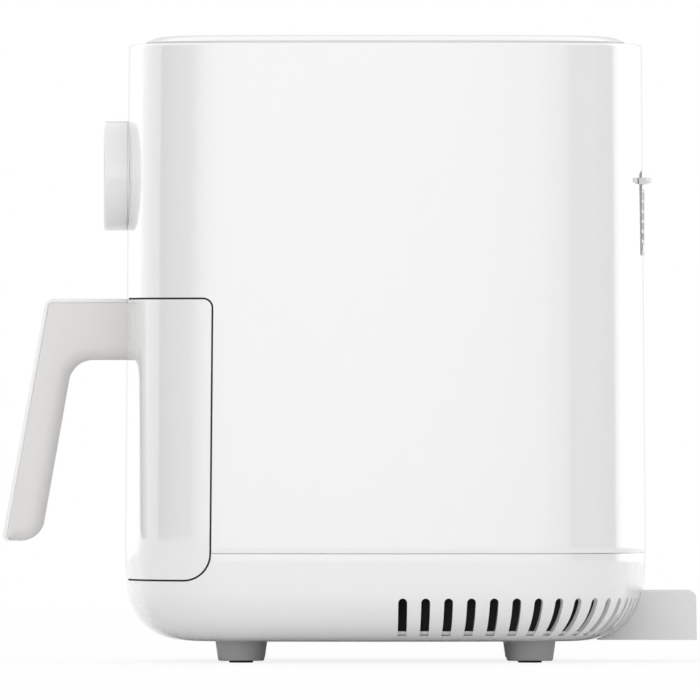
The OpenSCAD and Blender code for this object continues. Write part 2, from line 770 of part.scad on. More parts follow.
module motor_rotor() {
    color("gray") washer(motor_z + 9.5, upper_end_z - motor_z - 11, 17, shaft_d / 2);
}

// Flat fan: a hub and upright radial blades on a back disc.
module fan(z, h, r, hub_r, blades, disc_at_top) {
    disc_z = disc_at_top ? z + h - 1.2 : z;
    washer(disc_z, 1.2, r, shaft_d / 2, fine);
    washer(z, h, hub_r, shaft_d / 2);
    for (i = [0:blades - 1]) rotate([0, 0, 360 / blades * i])
        translate([hub_r - 1, -0.8, z]) cube([r - hub_r, 1.6, h]);
}

module hot_air_fan() {
    color("silver") fan(ledge_z + 5, head_room * 0.1426, hot_fan_r, 9, 10, true);
}

module cooling_fan() {
    color("gray") fan(motor_z + head_room * 0.4175, head_room * 0.112, cool_fan_r, 9, 9, false);
}

module fan_nut() {
    color("silver") translate([0, 0, ledge_z + 0.5]) difference() {
        cylinder(h = 4.5, d = 15, $fn = 6);
        translate([0, 0, -1]) cylinder(h = 7, d = shaft_d, $fn = medium);
    }
}

// ---- Inner frame, boards and sensors ----

module inner_frame() {
    color("ivory") translate([0, 0, frame_z]) difference() {
        linear_extrude(height = wall) intersection() {
            body_plan(12.5 - skin(frame_z));
            translate([-body_w / 2, board_y + 8]) square([body_w, body_w]);
        }
        translate([0, 0, -1]) cylinder(h = 5, r = 50, $fn = fine);
        for (x = [-1, 1], y = [-1, 1])
            translate([post_x * x, post_y * y, -1]) cylinder(h = 5, d = 3.3, $fn = small);
    }
    color("ivory") for (x = [5, 45], y = [-40, 40])
        translate([power_x + x, y, frame_z + wall - 0.1]) cylinder(h = 5.7, d = 6, $fn = small);
}

power_x = body_half - 72;

module power_board() {
    color("darkgreen") translate([power_x, -46, frame_z + 8]) cube([50, 92, 1.6]);
}

// Transformer, relay, two capacitors, a heat sink and the mains terminals.
module power_components() {
    top = frame_z + 9.6;
    translate([power_x, 0, top]) {
        color("black") translate([5, -34, 0]) cube([24, 22, 18]);
        color("navy") translate([7, -6, 0]) cube([19, 15, 15.5]);
        color("gray") for (y = [18, 30]) translate([15, y, 0]) cylinder(h = 20, d = 10, $fn = small);
        color("silver") translate([35, -30, 0]) cube([3, 40, 22]);
        color("green") translate([31, 16, 0]) cube([10, 24, 11]);
    }
}

// Carrier behind the front wall: guides the knob's stem and holds the control board.
module knob_carrier() {
    low = -28;
    color("dimgray") difference() {
        union() {
            translate([-36, carrier_y, knob_z + low]) cube([72, 2.5, 56]);
            translate([0, carrier_y + 7, knob_z]) rotate([90, 0, 0]) cylinder(h = 7, d = 24, $fn = medium);
            for (x = [-31, 31], z = [-23, 23]) translate([x, board_y, knob_z + z])
                rotate([90, 0, 0]) cylinder(h = board_y - carrier_y, d = 7, $fn = small);
        }
        for (x = [-31, 31], z = [-23, 23]) translate([x, board_y + 1, knob_z + z])
            rotate([90, 0, 0]) cylinder(h = 7, d = 2.6, $fn = small);
        translate([0, carrier_y + 20, knob_z]) rotate([90, 0, 0]) cylinder(h = 40, d = 16.1, $fn = medium);
    }
}

module control_board() {
    color("darkgreen") difference() {
        translate([-36, board_y, knob_z - 28]) cube([72, 1.6, 56]);
        for (x = [-31, 31], z = [-23, 23]) translate([x, board_y + 3, knob_z + z])
            rotate([90, 0, 0]) cylinder(h = 6, d = 2.8, $fn = small);
    }
}

// Push switch on the control board, its plunger side towards the stem.
module encoder() {
    color("black") translate([-7, board_y - 3, knob_z - 7]) cube([14, 3, 14]);
}

module drawer_switch() {
    color("black") translate([-(body_half + skin(155)) + 13.2, liner_front + 4, 150]) difference() {
        cube([6.2, 20, 10]);
        translate([-1, 5, 3]) cube([9, 2, 2]);
    }
}

module thermostat() {
    color("silver") translate([-62, -38, housing_top]) {
        cylinder(h = 6, d = 16, $fn = medium);
        translate([0, 0, 5.9]) cylinder(h = 3, d = 12, $fn = medium);
    }
}

module thermal_fuse() {
    color("silver") translate([-72, -8, housing_top]) {
        cube([6, 16, 1]);
        translate([3, 1, 3]) rotate([-90, 0, 0]) cylinder(h = 14, d = 4.4, $fn = small);
    }
}

// ---- Knob ----

// Cylinder along Y on the knob's axis, from front to rear.
module on_knob_axis(front, rear, d, fn = medium) {
    translate([0, rear, knob_z]) rotate([90, 0, 0]) cylinder(h = rear - front, d = d, $fn = fn);
}

stem_d = 16;
lens_front = knob_face + 0.6;
lens_back = lens_front + 1.6;
hub_front = lens_back + 2.6;
hub_back = hub_front + 4.3;
stem_end = board_y - 4.4;

// Stem with the disc that carries the lens, a collar behind the ring and a stop ring.
module push_stem() {
    color("dimgray") union() {
        on_knob_axis(lens_back, lens_back + 2, lens_d);
        on_knob_axis(lens_back, stem_end, stem_d);
        on_knob_axis(hub_back + 0.5, hub_back + 2, 20);
        on_knob_axis(carrier_y + 7.4, carrier_y + 8.6, 19);
    }
}

module display_lens() {
    color("black") on_knob_axis(lens_front, lens_back, lens_d, fine);
}

module knob_ring() {
    rear = knob_seat - knob_travel - 0.4;
    color("white") difference() {
        union() {
            on_knob_axis(knob_face + 0.6, rear, knob_d, fine);
            on_knob_axis(knob_face, knob_face + 0.61, knob_d - 1.2, fine);
        }
        on_knob_axis(knob_face - 1, hub_front, lens_d + 0.6, fine);
        on_knob_axis(hub_back, rear + 1, knob_d - 7, fine);
        on_knob_axis(hub_front - 1, hub_back + 1, stem_d + 0.12);
    }
}

module magnet_ring() {
    color("gray") difference() {
        on_knob_axis(hub_back, hub_back + 2.4, knob_d - 7);
        on_knob_axis(hub_back - 1, hub_back + 4, knob_d - 16);
    }
}

// ---- Drawer ----

module drawer_front() {
    low = drawer_bottom - 2;
    high = drawer_top + 2;
    low_u = -(seam_z - low) * tan(base_lean);
    color("white") difference() {
        intersection() {
            around_body() polygon([[low_u, low], [0, seam_z], [skin(high), high],
                [skin(high) - drawer_wall, high], [-drawer_wall, seam_z], [low_u - drawer_wall, low]]);
            across(3 * body_w) drawer_outline(drawer_gap);
        }
        translate([-bracket_w / 2 - 0.1, -140, bracket_z - 0.1]) cube([bracket_w + 0.2, 30, bracket_t + 0.2]);
    }
}

// Tray behind the drawer front, closed towards the chamber.
module drawer_inner_panel() {
    half = pan_half - 12;
    low = 45;
    high = drawer_top - 4;
    low_u = -(seam_z - low) * tan(base_lean) - drawer_wall;
    color("dimgray") difference() {
        intersection() {
            around_body() polygon([[-60, low], [low_u, low], [-drawer_wall, seam_z],
                [skin(high) - drawer_wall, high], [-60, high]]);
            translate([-half, -140, low]) cube([2 * half, panel_y + 2.5 + 140, high - low]);
        }
        translate([-half + wall, -140, low + wall])
            cube([2 * (half - wall), panel_y + 140, high - low - 2 * wall]);
        translate([-bracket_w / 2, -140, bracket_z]) cube([bracket_w, 60, bracket_t]);
    }
}

function pan_wall_lean() = atan(pan_lean / (pan_rim - pan_z));

module pan() {
    color("dimgray") translate([0, pan_mid, 0]) union() {
        around_box(pan_w, pan_depth, pan_r) union() {
            cup_wall(pan_z, pan_round, pan_wall_lean(), pan_rim, pan_t, 40, pan_rim);
            translate([-pan_t + 0.1, pan_rim - 0.1]) square([pan_t + 2.9, pan_t + 0.1]);
        }
        translate([0, 0, pan_z]) linear_extrude(height = pan_t)
            box_plan(pan_w - 78, pan_depth - 78, pan_r - 39);
    }
}

bracket_w = 24;
bracket_t = 3;
bracket_z = 159;

// Steel bar from the handle through the drawer front to the pan's front wall.
module handle_bracket() {
    color("silver") difference() {
        union() {
            translate([-bracket_w / 2, -160, bracket_z]) cube([bracket_w, 160 + panel_y + 5, bracket_t]);
            translate([-22, panel_y + 2.5, bracket_z - 28]) cube([44, 9, 34]);
        }
        translate([0, pan_mid, 0]) around_box(pan_w, pan_depth, pan_r) polygon(concat([[-44, pan_z]],
            cup_surface(pan_z, pan_round, pan_wall_lean(), pan_rim, -0.02, pan_rim + 4),
            [[-44, pan_rim + 4]]));
        for (x = [-7, 7]) translate([x, handle_screw_y, bracket_z - 1]) cylinder(h = 6, d = 4, $fn = small);
    }
}

// ---- Handle ----

handle_screw_y = -(body_half + skin(bracket_z)) - 7.9;

// Front line of the handle at a height.
function handle_front(z) = front_tip + (z - handle_low - 2.2) * handle_slope;

// Front and top edge of the handle, moved inwards by inset, from the tip to the root.
function handle_edge(inset) = [
    [handle_front(handle_low + 2.2) + inset, handle_low + 2.2, 0],
    [handle_front(handle_top - inset) + inset, handle_top - inset, 3.2 - inset * 0.9],
    [-body_half + 10, handle_top - inset, 0]
];

module handle_grip() {
    inset = strip_t;
    lower = handle_low + 2.8;
    color("gainsboro") difference() {
        across(handle_w) polygon(rounded(concat(
            handle_edge(inset),
            [[-body_half + 10, handle_root, 0],
             [handle_front(handle_root) + grip_t, handle_root, 12],
             [handle_front(lower) + grip_t, lower, 7],
             [front_tip + 7.5, handle_low, 5],
             [front_tip + 2 + inset * 0.9, handle_low + 0.1, 0]])));
        drawer_face_cut();
        translate([-bracket_w / 2, -160, bracket_z]) cube([bracket_w, 60, bracket_t]);
        for (x = [-7, 7]) translate([x, handle_screw_y, handle_root - 1]) {
            cylinder(h = 6, d = 8, $fn = small);
            cylinder(h = bracket_z - handle_root + 6, d = 4, $fn = small);
        }
    }
}

module handle_cover() {
    color("white") difference() {
        across(handle_w) polygon(concat(
            rounded(concat(handle_edge(0), [[-body_half + 10, handle_top - strip_t, 0]])),
            reversed(rounded(handle_edge(strip_t))),
            [[front_tip + 2 + strip_t * 0.9, handle_low + 0.1], [front_tip + 1.6, handle_low + 0.2]]));
        drawer_face_cut();
    }
}

// Everything behind the drawer front's outer surface.
module drawer_face_cut() {
    face_sweep(-1, 6) polygon([[-30, 120], [skin(120), 120], [skin(190), 190], [-30, 190]]);
}

// ---- Crisper plate ----

crisper_z = 60;
crisper_feet_at = pan_half - 40;

module crisper_plate() {
    pitch = 16;
    color("dimgray") translate([0, pan_mid, crisper_z]) linear_extrude(height = 1.5) difference() {
        box_plan(pan_w - 20, pan_depth - 20, pan_r - 10);
        for (x = [-72:pitch:72], y = [-72:pitch:72])
            if (abs(x) + abs(y) < 1.3 * pan_half &&
                norm([abs(x) - crisper_feet_at, abs(y) - crisper_feet_at]) > 8)
                translate([x, y]) circle(d = 5, $fn = 24);
        for (x = [-1, 1], y = [-1, 1])
            translate([crisper_feet_at * x, crisper_feet_at * y]) circle(r = 4, $fn = small);
    }
}

module crisper_feet() {
    low = pan_z + pan_t + 0.3;
    color("darkred") for (x = [-1, 1], y = [-1, 1])
        translate([crisper_feet_at * x, pan_mid + crisper_feet_at * y, 0]) union() {
            translate([0, 0, low]) cylinder(h = crisper_z - low, r = 6, $fn = small);
            translate([0, 0, crisper_z - 0.1]) cylinder(h = 2, r = 4, $fn = small);
            translate([0, 0, crisper_z + 1.5]) cylinder(h = 1.6, r = 5.5, $fn = small);
        }
}

// ---- Screws ----

module base_screws() {
    head_z = base_z + 12;
    color("silver") for (x = [-1, 1], y = [-1, 1])
        translate([boss_x * x, boss_y * y, head_z]) mirror([0, 0, 1])
            screw(4, liner_floor + sheet_t - head_z + 1.5, 8, 2.5);
}

module liner_screws() {
    color("silver") for (x = [-1, 1], y = [-1, 1])
        translate([ledge_screw_at * x, ledge_screw_at * y, ledge_z + wall]) screw(4, wall + 3, 8, 2.5);
}

module motor_screws() {
    color("silver") for (turn = [30, 150, 270]) rotate([0, 0, turn])
        translate([grommet_r, 0, motor_z]) screw(4, motor_z - housing_top, 8, 2.5);
}

module board_screws() {
    color("silver") {
        for (x = [-1, 1], y = [-1, 1])
            translate([post_x * x, post_y * y, frame_z + wall]) screw(3, 12, 6.5, 2.2);
        for (x = [-31, 31], z = [-23, 23]) translate([x, board_y + 1.6, knob_z + z])
            rotate([-90, 0, 0]) screw(2.5, 6, 5.5, 1.8);
    }
}

module handle_screws() {
    color("silver") for (x = [-7, 7])
        translate([x, handle_screw_y, handle_root + 5]) mirror([0, 0, 1])
            screw(3.9, bracket_z + bracket_t - handle_root - 5, 7.6, 2.6);
}

// ---- Nodes ----

in_frame() upper_shell();
in_frame() base_shell();
in_frame() top_cover();
in_frame() foot(-1, -1);  // foot_front_left
in_frame() foot(1, -1);  // foot_front_right
in_frame() foot(-1, 1);  // foot_rear_left
in_frame() foot(1, 1);  // foot_rear_right
in_frame() foot_pads();
in_frame() rear_exhaust_grille();
in_frame() rear_spacer();
in_frame() cord_gland();
in_frame() chamber_liner();
in_frame() liner_floor_plate();  // liner_floor
in_frame() liner_ceiling();
in_frame() pan_rails();
in_frame() pan_detents();
in_frame() fan_housing();
in_frame() exhaust_duct();
in_frame() heater_coil();
in_frame() heater_clips();
in_frame() heater_guard();
in_frame() motor_grommets();
in_frame() motor_bracket();
in_frame() motor_lower_end();
in_frame() motor_stator();
in_frame() motor_upper_end();
in_frame() motor_bearings();
in_frame() inner_frame();
in_frame() power_board();
in_frame() power_components();
in_frame() knob_carrier();
in_frame() control_board();
in_frame() encoder();
in_frame() drawer_switch();
in_frame() thermostat();
in_frame() thermal_fuse();
in_frame() base_screws();
in_frame() liner_screws();
in_frame() motor_screws();
in_frame() board_screws();
in_frame() motor_shaft();
in_frame() motor_rotor();
in_frame() hot_air_fan();
in_frame() fan_nut();
in_frame() cooling_fan();
in_frame() push_stem();
in_frame() display_lens();
in_frame() knob_ring();
in_frame() magnet_ring();
in_frame() drawer_front();
in_frame() drawer_inner_panel();
in_frame() pan();
in_frame() handle_grip();
in_frame() handle_cover();
in_frame() handle_bracket();
in_frame() handle_screws();
in_frame() crisper_plate();
in_frame() crisper_feet();
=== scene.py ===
import json
import math
import bpy
from mathutils import Matrix, Vector


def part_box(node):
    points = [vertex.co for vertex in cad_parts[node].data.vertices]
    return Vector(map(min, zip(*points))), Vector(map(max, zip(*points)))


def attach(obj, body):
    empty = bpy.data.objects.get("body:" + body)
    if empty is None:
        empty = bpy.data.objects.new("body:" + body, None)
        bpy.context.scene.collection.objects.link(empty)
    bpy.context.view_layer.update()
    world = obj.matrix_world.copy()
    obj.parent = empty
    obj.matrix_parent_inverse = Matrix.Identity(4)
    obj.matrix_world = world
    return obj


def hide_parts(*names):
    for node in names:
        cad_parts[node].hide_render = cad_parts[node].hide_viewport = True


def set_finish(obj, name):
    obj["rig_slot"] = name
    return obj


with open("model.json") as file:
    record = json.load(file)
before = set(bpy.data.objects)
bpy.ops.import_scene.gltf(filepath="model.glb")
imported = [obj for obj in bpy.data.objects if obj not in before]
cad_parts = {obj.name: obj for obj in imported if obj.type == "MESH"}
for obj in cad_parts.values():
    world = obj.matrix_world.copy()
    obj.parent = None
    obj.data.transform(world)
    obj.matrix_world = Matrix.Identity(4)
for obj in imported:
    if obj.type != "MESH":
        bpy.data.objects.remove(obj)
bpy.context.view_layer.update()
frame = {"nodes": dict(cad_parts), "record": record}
nodes = frame["nodes"]
mm = 0.001
tiny = 0.01 * mm  # closer than this counts as touching, and how far spun profiles stay off their axis
slack = 1 * mm  # room for a test on a place

# Small helpers for working on one object at a time


def selectOnly(obj):
    if bpy.context.object and bpy.context.object.mode != "OBJECT":
        bpy.ops.object.mode_set(mode="OBJECT")
    bpy.ops.object.select_all(action="DESELECT")
    if obj:
        obj.select_set(True)
        bpy.context.view_layer.objects.active = obj


def editMode(obj, kind="VERT"):
    selectOnly(obj)
    bpy.ops.object.mode_set(mode="EDIT")
    bpy.ops.mesh.select_mode(type=kind)


def objectMode():
    bpy.ops.object.mode_set(mode="OBJECT")


def pick(obj, kind, test):
    # selects vertices, edges or faces whose middle passes the test
    editMode(obj, kind)
    bpy.ops.mesh.select_all(action="DESELECT")
    objectMode()
    mesh = obj.data
    if kind == "VERT":
        for vert in mesh.vertices:
            vert.select = bool(test(vert.co))
    elif kind == "EDGE":
        for edge in mesh.edges:
            a, b = (mesh.vertices[i].co for i in edge.vertices)
            edge.select = bool(test(a, b))
    else:
        for face in mesh.polygons:
            face.select = bool(test(face.center, face.normal))
    bpy.ops.object.mode_set(mode="EDIT")


def applyModifier(obj, kind, **settings):
    selectOnly(obj)
    modifier = obj.modifiers.new(kind.title(), kind)
    for name, value in settings.items():
        setattr(modifier, name, value)
    bpy.ops.object.modifier_apply(modifier=modifier.name)


def drawOutline(name, points, closed=True):
    # one vertex, extruded from point to point
    selectOnly(None)
    bpy.ops.mesh.primitive_plane_add(size=0.01, location=points[0])
    obj = bpy.context.object
    obj.name = obj.data.name = name
    bpy.ops.object.transform_apply(location=True, rotation=True, scale=True)
    editMode(obj)
    bpy.ops.mesh.select_all(action="SELECT")
    bpy.ops.mesh.merge(type="CENTER")
    for here, there in zip(points, points[1:]):
        step = Vector(there) - Vector(here)
        bpy.ops.mesh.extrude_vertices_move(TRANSFORM_OT_translate={"value": step})
    bpy.ops.mesh.select_all(action="SELECT")
    if closed:
        bpy.ops.mesh.edge_face_add()
    return obj


def tidyMesh(obj, merge=tiny):
    editMode(obj)
    bpy.ops.mesh.select_all(action="SELECT")
    bpy.ops.mesh.remove_doubles(threshold=merge)
    bpy.ops.mesh.normals_make_consistent(inside=False)
    objectMode()


def smooth(obj, angle=32):
    selectOnly(obj)
    bpy.ops.object.shade_smooth_by_angle(angle=math.radians(angle))


def remove(obj):
    selectOnly(obj)
    bpy.ops.object.delete()


def cut(obj, cutter, operation="DIFFERENCE"):
    applyModifier(obj, "BOOLEAN", operation=operation, object=cutter, solver="EXACT")
    remove(cutter)


def copyOf(obj, name, matrix):
    selectOnly(obj)
    bpy.ops.object.duplicate()
    twin = bpy.context.object
    twin.name = twin.data.name = name
    twin.matrix_world = matrix
    bpy.ops.object.transform_apply(location=True, rotation=True, scale=True)
    return twin


def joined(name, parts):
    selectOnly(parts[0])
    for part in parts[1:]:
        part.select_set(True)
    bpy.ops.object.join()
    obj = bpy.context.object
    obj.name = obj.data.name = name
    return obj


def arcBetween(before, corner, after, radius, steps):
    # points of the arc that rounds a corner
    a, b = (before - corner).normalized(), (after - corner).normalized()
    half = math.acos(max(-1, min(1, a.dot(b)))) / 2
    centre = corner + (a + b).normalized() * radius / math.sin(half)
    start = corner + a * radius / math.tan(half) - centre
    end = corner + b * radius / math.tan(half) - centre
    turn = math.atan2(start.x * end.y - start.y * end.x, start.dot(end))
    angles = [turn * i / steps for i in range(steps + 1)]
    return [centre + Matrix.Rotation(angle, 2) @ start for angle in angles]


def roundedOutline(corners, steps=10):
    # corners: (y, z, radius), where a radius of 0 keeps the corner sharp
    spots = [Vector(corner[:2]) for corner in corners]
    points = []
    for i, spot in enumerate(spots):
        radius = corners[i][2]
        if radius:
            points += arcBetween(spots[i - 1], spot, spots[(i + 1) % len(spots)], radius, steps)
        else:
            points.append(spot)
    return points


def arc(u, z, radius, start, end, steps):
    # points round (u, z) between two angles in degrees
    angles = [math.radians(start + (end - start) * i / steps) for i in range(steps + 1)]
    return [(u + radius * math.cos(angle), z + radius * math.sin(angle)) for angle in angles]


# Body plan: four side arcs and four corner arcs that run into each other

shellLow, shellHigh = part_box("upper_shell")
coverLow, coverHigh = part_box("top_cover")
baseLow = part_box("base_shell")[0]

solidSeam = 0.6 * mm  # gap between the two shells' solids
plan = {
    "half": (shellHigh.x - shellLow.x) / 2,
    "centreY": (coverHigh.y + coverLow.y) / 2,
    "sideRadius": 330 * mm,
    "cornerRadius": 68 * mm,
    "seamZ": shellLow.z - solidSeam / 2,
    "rimZ": shellHigh.z,
    "rimInset": 2 * mm,
    "plateStart": 60 * mm,
    "sideSteps": 14,
    "cornerSteps": 30,
}
arcGap = plan["sideRadius"] - plan["cornerRadius"]
blendAngle = math.acos((plan["sideRadius"] - plan["half"]) / (arcGap * math.sqrt(2))) - math.pi / 4
cornerAt = arcGap * math.sin(blendAngle)
sideAt = plan["half"] - plan["sideRadius"]


def skin(z):
    # outward offset of the wall, which leans in towards the rim
    return -plan["rimInset"] * (z - plan["seamZ"]) / (plan["rimZ"] - plan["seamZ"])


def sweepAroundBody(name, profile):
    # profile: (outward offset, height) pairs, swept round the whole body
    points = [(plan["half"] + u, plan["centreY"], z) for u, z in profile]
    obj = drawOutline(name, points)
    bpy.ops.mesh.delete(type="ONLY_FACE")
    bpy.ops.mesh.select_all(action="SELECT")
    cornerTurn = math.pi / 2 - 2 * blendAngle
    for quarter in range(4):
        turn = Matrix.Rotation(math.pi / 2 * quarter, 2)
        side = turn @ Vector((sideAt, 0))
        corner = turn @ Vector((cornerAt, cornerAt))
        nextSide = turn @ Vector((0, sideAt))
        for centre, angle, steps in (
            (side, blendAngle, plan["sideSteps"]),
            (corner, cornerTurn, plan["cornerSteps"]),
            (nextSide, blendAngle, plan["sideSteps"]),
        ):
            middle = (centre.x, centre.y + plan["centreY"], 0)
            bpy.ops.mesh.spin(steps=steps, angle=-angle, center=middle, axis=(0, 0, 1), dupli=False)
    objectMode()
    tidyMesh(obj)
    return obj


def closePlate(obj, low, top):
    # closes the open middle of a plate at both levels, then deletes the ring wall between them
    def inMiddle(point):
        span = max(abs(point.x), abs(point.y - plan["centreY"]))
        return span < plan["half"] - plan["plateStart"] + slack

    for level in (low, top):
        pick(obj, "EDGE", lambda a, b: abs(a.z - level) < tiny and abs(b.z - level) < tiny
             and inMiddle(a) and inMiddle(b))
        bpy.ops.mesh.edge_face_add()
        objectMode()
    pick(obj, "FACE", lambda c, n: abs(n.z) < 0.1 and low + tiny < c.z < top - tiny and inMiddle(c))
    bpy.ops.mesh.delete(type="ONLY_FACE")
    objectMode()
    tidyMesh(obj)


def extrudeAcross(name, outline, width, middle=0.0):
    # a side outline of (y, z) points, extruded along X
    obj = drawOutline(name, [(middle - width / 2, y, z) for y, z in outline])
    bpy.ops.mesh.extrude_region_move(TRANSFORM_OT_translate={"value": (width, 0, 0)})
    objectMode()
    tidyMesh(obj)
    return obj


def turned(name, profile, axisPoint, axis, steps=96):
    # a closed profile of points, spun a full turn
    obj = drawOutline(name, profile)
    bpy.ops.mesh.delete(type="ONLY_FACE")
    bpy.ops.mesh.select_all(action="SELECT")
    bpy.ops.mesh.spin(steps=steps, angle=math.tau, center=axisPoint, axis=axis, dupli=False)
    objectMode()
    tidyMesh(obj)
    return obj


# Upper shell: one moulding with a rounded rim, cut for the drawer, the knob and the exhaust

frontLow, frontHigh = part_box("drawer_front")
reach = 20 * mm  # cutters stand this far out of what they cut

seam = {"gap": 0.32 * mm, "tongueIn": 1 * mm, "tongueUp": 1.4 * mm, "play": 0.15 * mm}
upperShell = {
    "wall": 2.4 * mm,
    "rimRadius": 1.5 * mm,
    "rimDepth": 24 * mm,
    "recessGap": 0.6 * mm,
    "bossWidth": 4.5 * mm,
    "bossBack": 3.7 * mm,
    "bossFront": 1 * mm,
    "edge": 0.3 * mm,
    "straight": (3 * mm, 2 * mm),
    "innerTop": 10 * mm,
}


def drawerOutline(gap):
    # the drawer front seen from the side, shrunk by a gap
    rear = frontHigh.y + drawerFront["gap"]
    low = frontLow.z - drawerFront["gap"]
    top = frontHigh.z + drawerFront["gap"]
    front = frontLow.y - 2 * reach
    return roundedOutline([
        (front, low + gap, 0),
        (rear - drawerFront["rearLean"] - gap, low + gap, drawerFront["lowRadius"] - gap),
        (rear - gap, top - gap, drawerFront["topRadius"] - gap),
        (front, top - gap, 0),
    ])


def wallRows(low, high, inset=0.0, count=12):
    # the leaning wall between two heights, in even rows
    heights = [low + (high - low) * i / count for i in range(count + 1)]
    return [(skin(z) - inset, z) for z in heights]


def disc(name, radius, rear, front, x, z, vertices=96):
    # a plain round plug along Y, for cutting
    selectOnly(None)
    bpy.ops.mesh.primitive_cylinder_add(
        vertices=vertices, radius=radius, depth=rear - front, end_fill_type="NGON",
        location=(x, (rear + front) / 2, z), rotation=(math.pi / 2, 0, 0))
    bpy.context.object.name = name
    bpy.ops.object.transform_apply(location=True, rotation=True, scale=True)
    return bpy.context.object


def makeUpperShell():
    rimZ, radius, wall = plan["rimZ"], upperShell["rimRadius"], upperShell["wall"]
    low = plan["seamZ"] + seam["gap"] / 2
    rimU = skin(rimZ)
    tongueU, tongueTop = seam["play"] - seam["tongueIn"], plan["seamZ"] + seam["tongueUp"] + seam["play"]
    edge, depth, (fromLow, fromRim) = upperShell["edge"], upperShell["rimDepth"], upperShell["straight"]
    outer = [(-wall, tongueTop), (tongueU, tongueTop), (tongueU, low)]
    outer += [(-edge * 0.6, low), (-edge * 0.15, low + edge * 0.2), (0, low + edge * 0.8)]
    outer += wallRows(low + fromLow, rimZ - radius - fromRim)
    rim = arc(rimU - radius, rimZ - radius, radius, 0, 90, 8)
    inner = [(-depth, rimZ), (-depth, rimZ - wall), (rimU - wall, rimZ - wall)]
    inner += list(reversed(wallRows(tongueTop, rimZ - upperShell["innerTop"], wall, 4)))[:-1]
    shell = sweepAroundBody("upperShell", outer + rim + inner)
    z, seatY = knob["z"], knob["seatY"]
    boss = disc("boss", knob["radius"] + upperShell["bossWidth"],
                seatY + upperShell["bossBack"], seatY - upperShell["bossFront"], 0, z)
    cut(shell, boss, "UNION")
    cut(shell, disc("recess", knob["radius"] + upperShell["recessGap"], seatY, knob["faceY"] - reach, 0, z))
    cut(shell, extrudeAcross("opening", drawerOutline(0), 3 * plan["half"]))
    front, rear = plan["centreY"] + plan["half"] - 1.5 * reach, plan["centreY"] + plan["half"] + reach
    low, top = grille["low"], grille["low"] + grille["height"]
    cut(shell, extrudeAcross("window", [(front, low), (rear, low), (rear, top), (front, top)],
                             2 * plan["sideRadius"] * math.sin(grille["windowHalf"])))
    tidyMesh(shell, 2 * tiny)
    smooth(shell)
    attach(shell, "housing")
    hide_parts("upper_shell")
    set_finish(shell, "gloss_white")
    return shell


# Base: a cup with a rounded foot edge and a row of vent slots on each side

baseLean = math.radians(3.5)
base = {
    "low": baseLow.z,
    "round": 27 * mm,
    "wall": 2.4 * mm,
    "slotWidth": 4.3 * mm,
    "slotPitch": 11.2 * mm,
    "slotCount": 16,
    "slotFirst": 8.3 * mm,
    "slotLow": 2.9 * mm,
    "slotHigh": 21.1 * mm,
    "slotOut": 8 * mm,
    "slotDepth": 34 * mm,
    "rimEdge": ((-0.08 * mm, -0.06 * mm), (-0.2 * mm, 0)),
    "rimFrom": 0.3 * mm,
}


def cupRows(inset, top, steps=14):
    # the rounded foot edge, then the wall that leans out up to the top
    low, radius = base["low"], base["round"]
    z = low + radius
    u = -(plan["seamZ"] - z + radius * math.sin(baseLean)) * math.tan(baseLean) - radius * math.cos(baseLean)
    rows = arc(u, z, radius - inset, -90, -math.degrees(baseLean), steps)
    lastU, lastZ = rows[-1]
    for share in (0.35, 0.7, 1):
        rows.append((lastU + (top - lastZ) * math.tan(baseLean) * share, lastZ + (top - lastZ) * share))
    return rows


def alongOutline(distance):
    # place and turn of a point on the outline, counted from the +X side's middle
    sideEnd = plan["sideRadius"] * blendAngle
    cornerEnd = sideEnd + plan["cornerRadius"] * (math.pi / 2 - 2 * blendAngle)
    if distance <= sideEnd:
        centre, radius, angle = Vector((sideAt, 0, 0)), plan["sideRadius"], distance / plan["sideRadius"]
    elif distance <= cornerEnd:
        centre, radius = Vector((cornerAt, cornerAt, 0)), plan["cornerRadius"]
        angle = blendAngle + (distance - sideEnd) / radius
    else:
        centre, radius = Vector((0, sideAt, 0)), plan["sideRadius"]
        angle = math.pi / 2 - blendAngle + (distance - cornerEnd) / radius
    spot = centre + Vector((radius * math.cos(angle), radius * math.sin(angle), 0))
    return Matrix.Translation(spot + Vector((0, plan["centreY"], 0))) @ Matrix.Rotation(angle, 4, "Z")


def makeSlotCutters():
    half = base["slotWidth"] / 2
    low, top = base["low"] + base["slotLow"], base["low"] + base["slotHigh"] - half
    outline = [(-half, low), (half, low)] + arc(0, top, half, 0, 180, 10)
    first = extrudeAcross("slotCutter", outline, base["slotDepth"], base["slotOut"] - base["slotDepth"] / 2)
    copies = []
    for i in range(base["slotCount"]):
        place = alongOutline(base["slotFirst"] + base["slotPitch"] * i)
        copies.append(copyOf(first, f"slotCutter{i}", place))
        twin = copyOf(copies[-1], f"slotCutterLeft{i}", Matrix.Scale(-1, 4, (1, 0, 0)))
        editMode(twin)
        bpy.ops.mesh.select_all(action="SELECT")
        bpy.ops.mesh.flip_normals()
        objectMode()
        copies.append(twin)
    remove(first)
    return joined("slotCutters", copies)


def makeBaseShell():
    low, wall = base["low"], base["wall"]
    top, tongueTop = plan["seamZ"] - seam["gap"] / 2, plan["seamZ"] + seam["tongueUp"]
    outer = cupRows(0, top - base["rimFrom"]) + [(u, top + z) for u, z in base["rimEdge"]]
    outer += [(-seam["tongueIn"], top), (-seam["tongueIn"], tongueTop), (-wall, tongueTop)]
    inner = list(reversed(cupRows(wall, top)))
    middle = -plan["plateStart"]
    shell = sweepAroundBody("baseShell", [(middle, low)] + outer + inner + [(middle, low + wall)])
    closePlate(shell, low, low + wall)
    cut(shell, extrudeAcross("opening", drawerOutline(0), 3 * plan["half"]))
    cut(shell, makeSlotCutters())
    smooth(shell)
    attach(shell, "housing")
    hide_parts("base_shell")
    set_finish(shell, "gloss_white")
    return shell
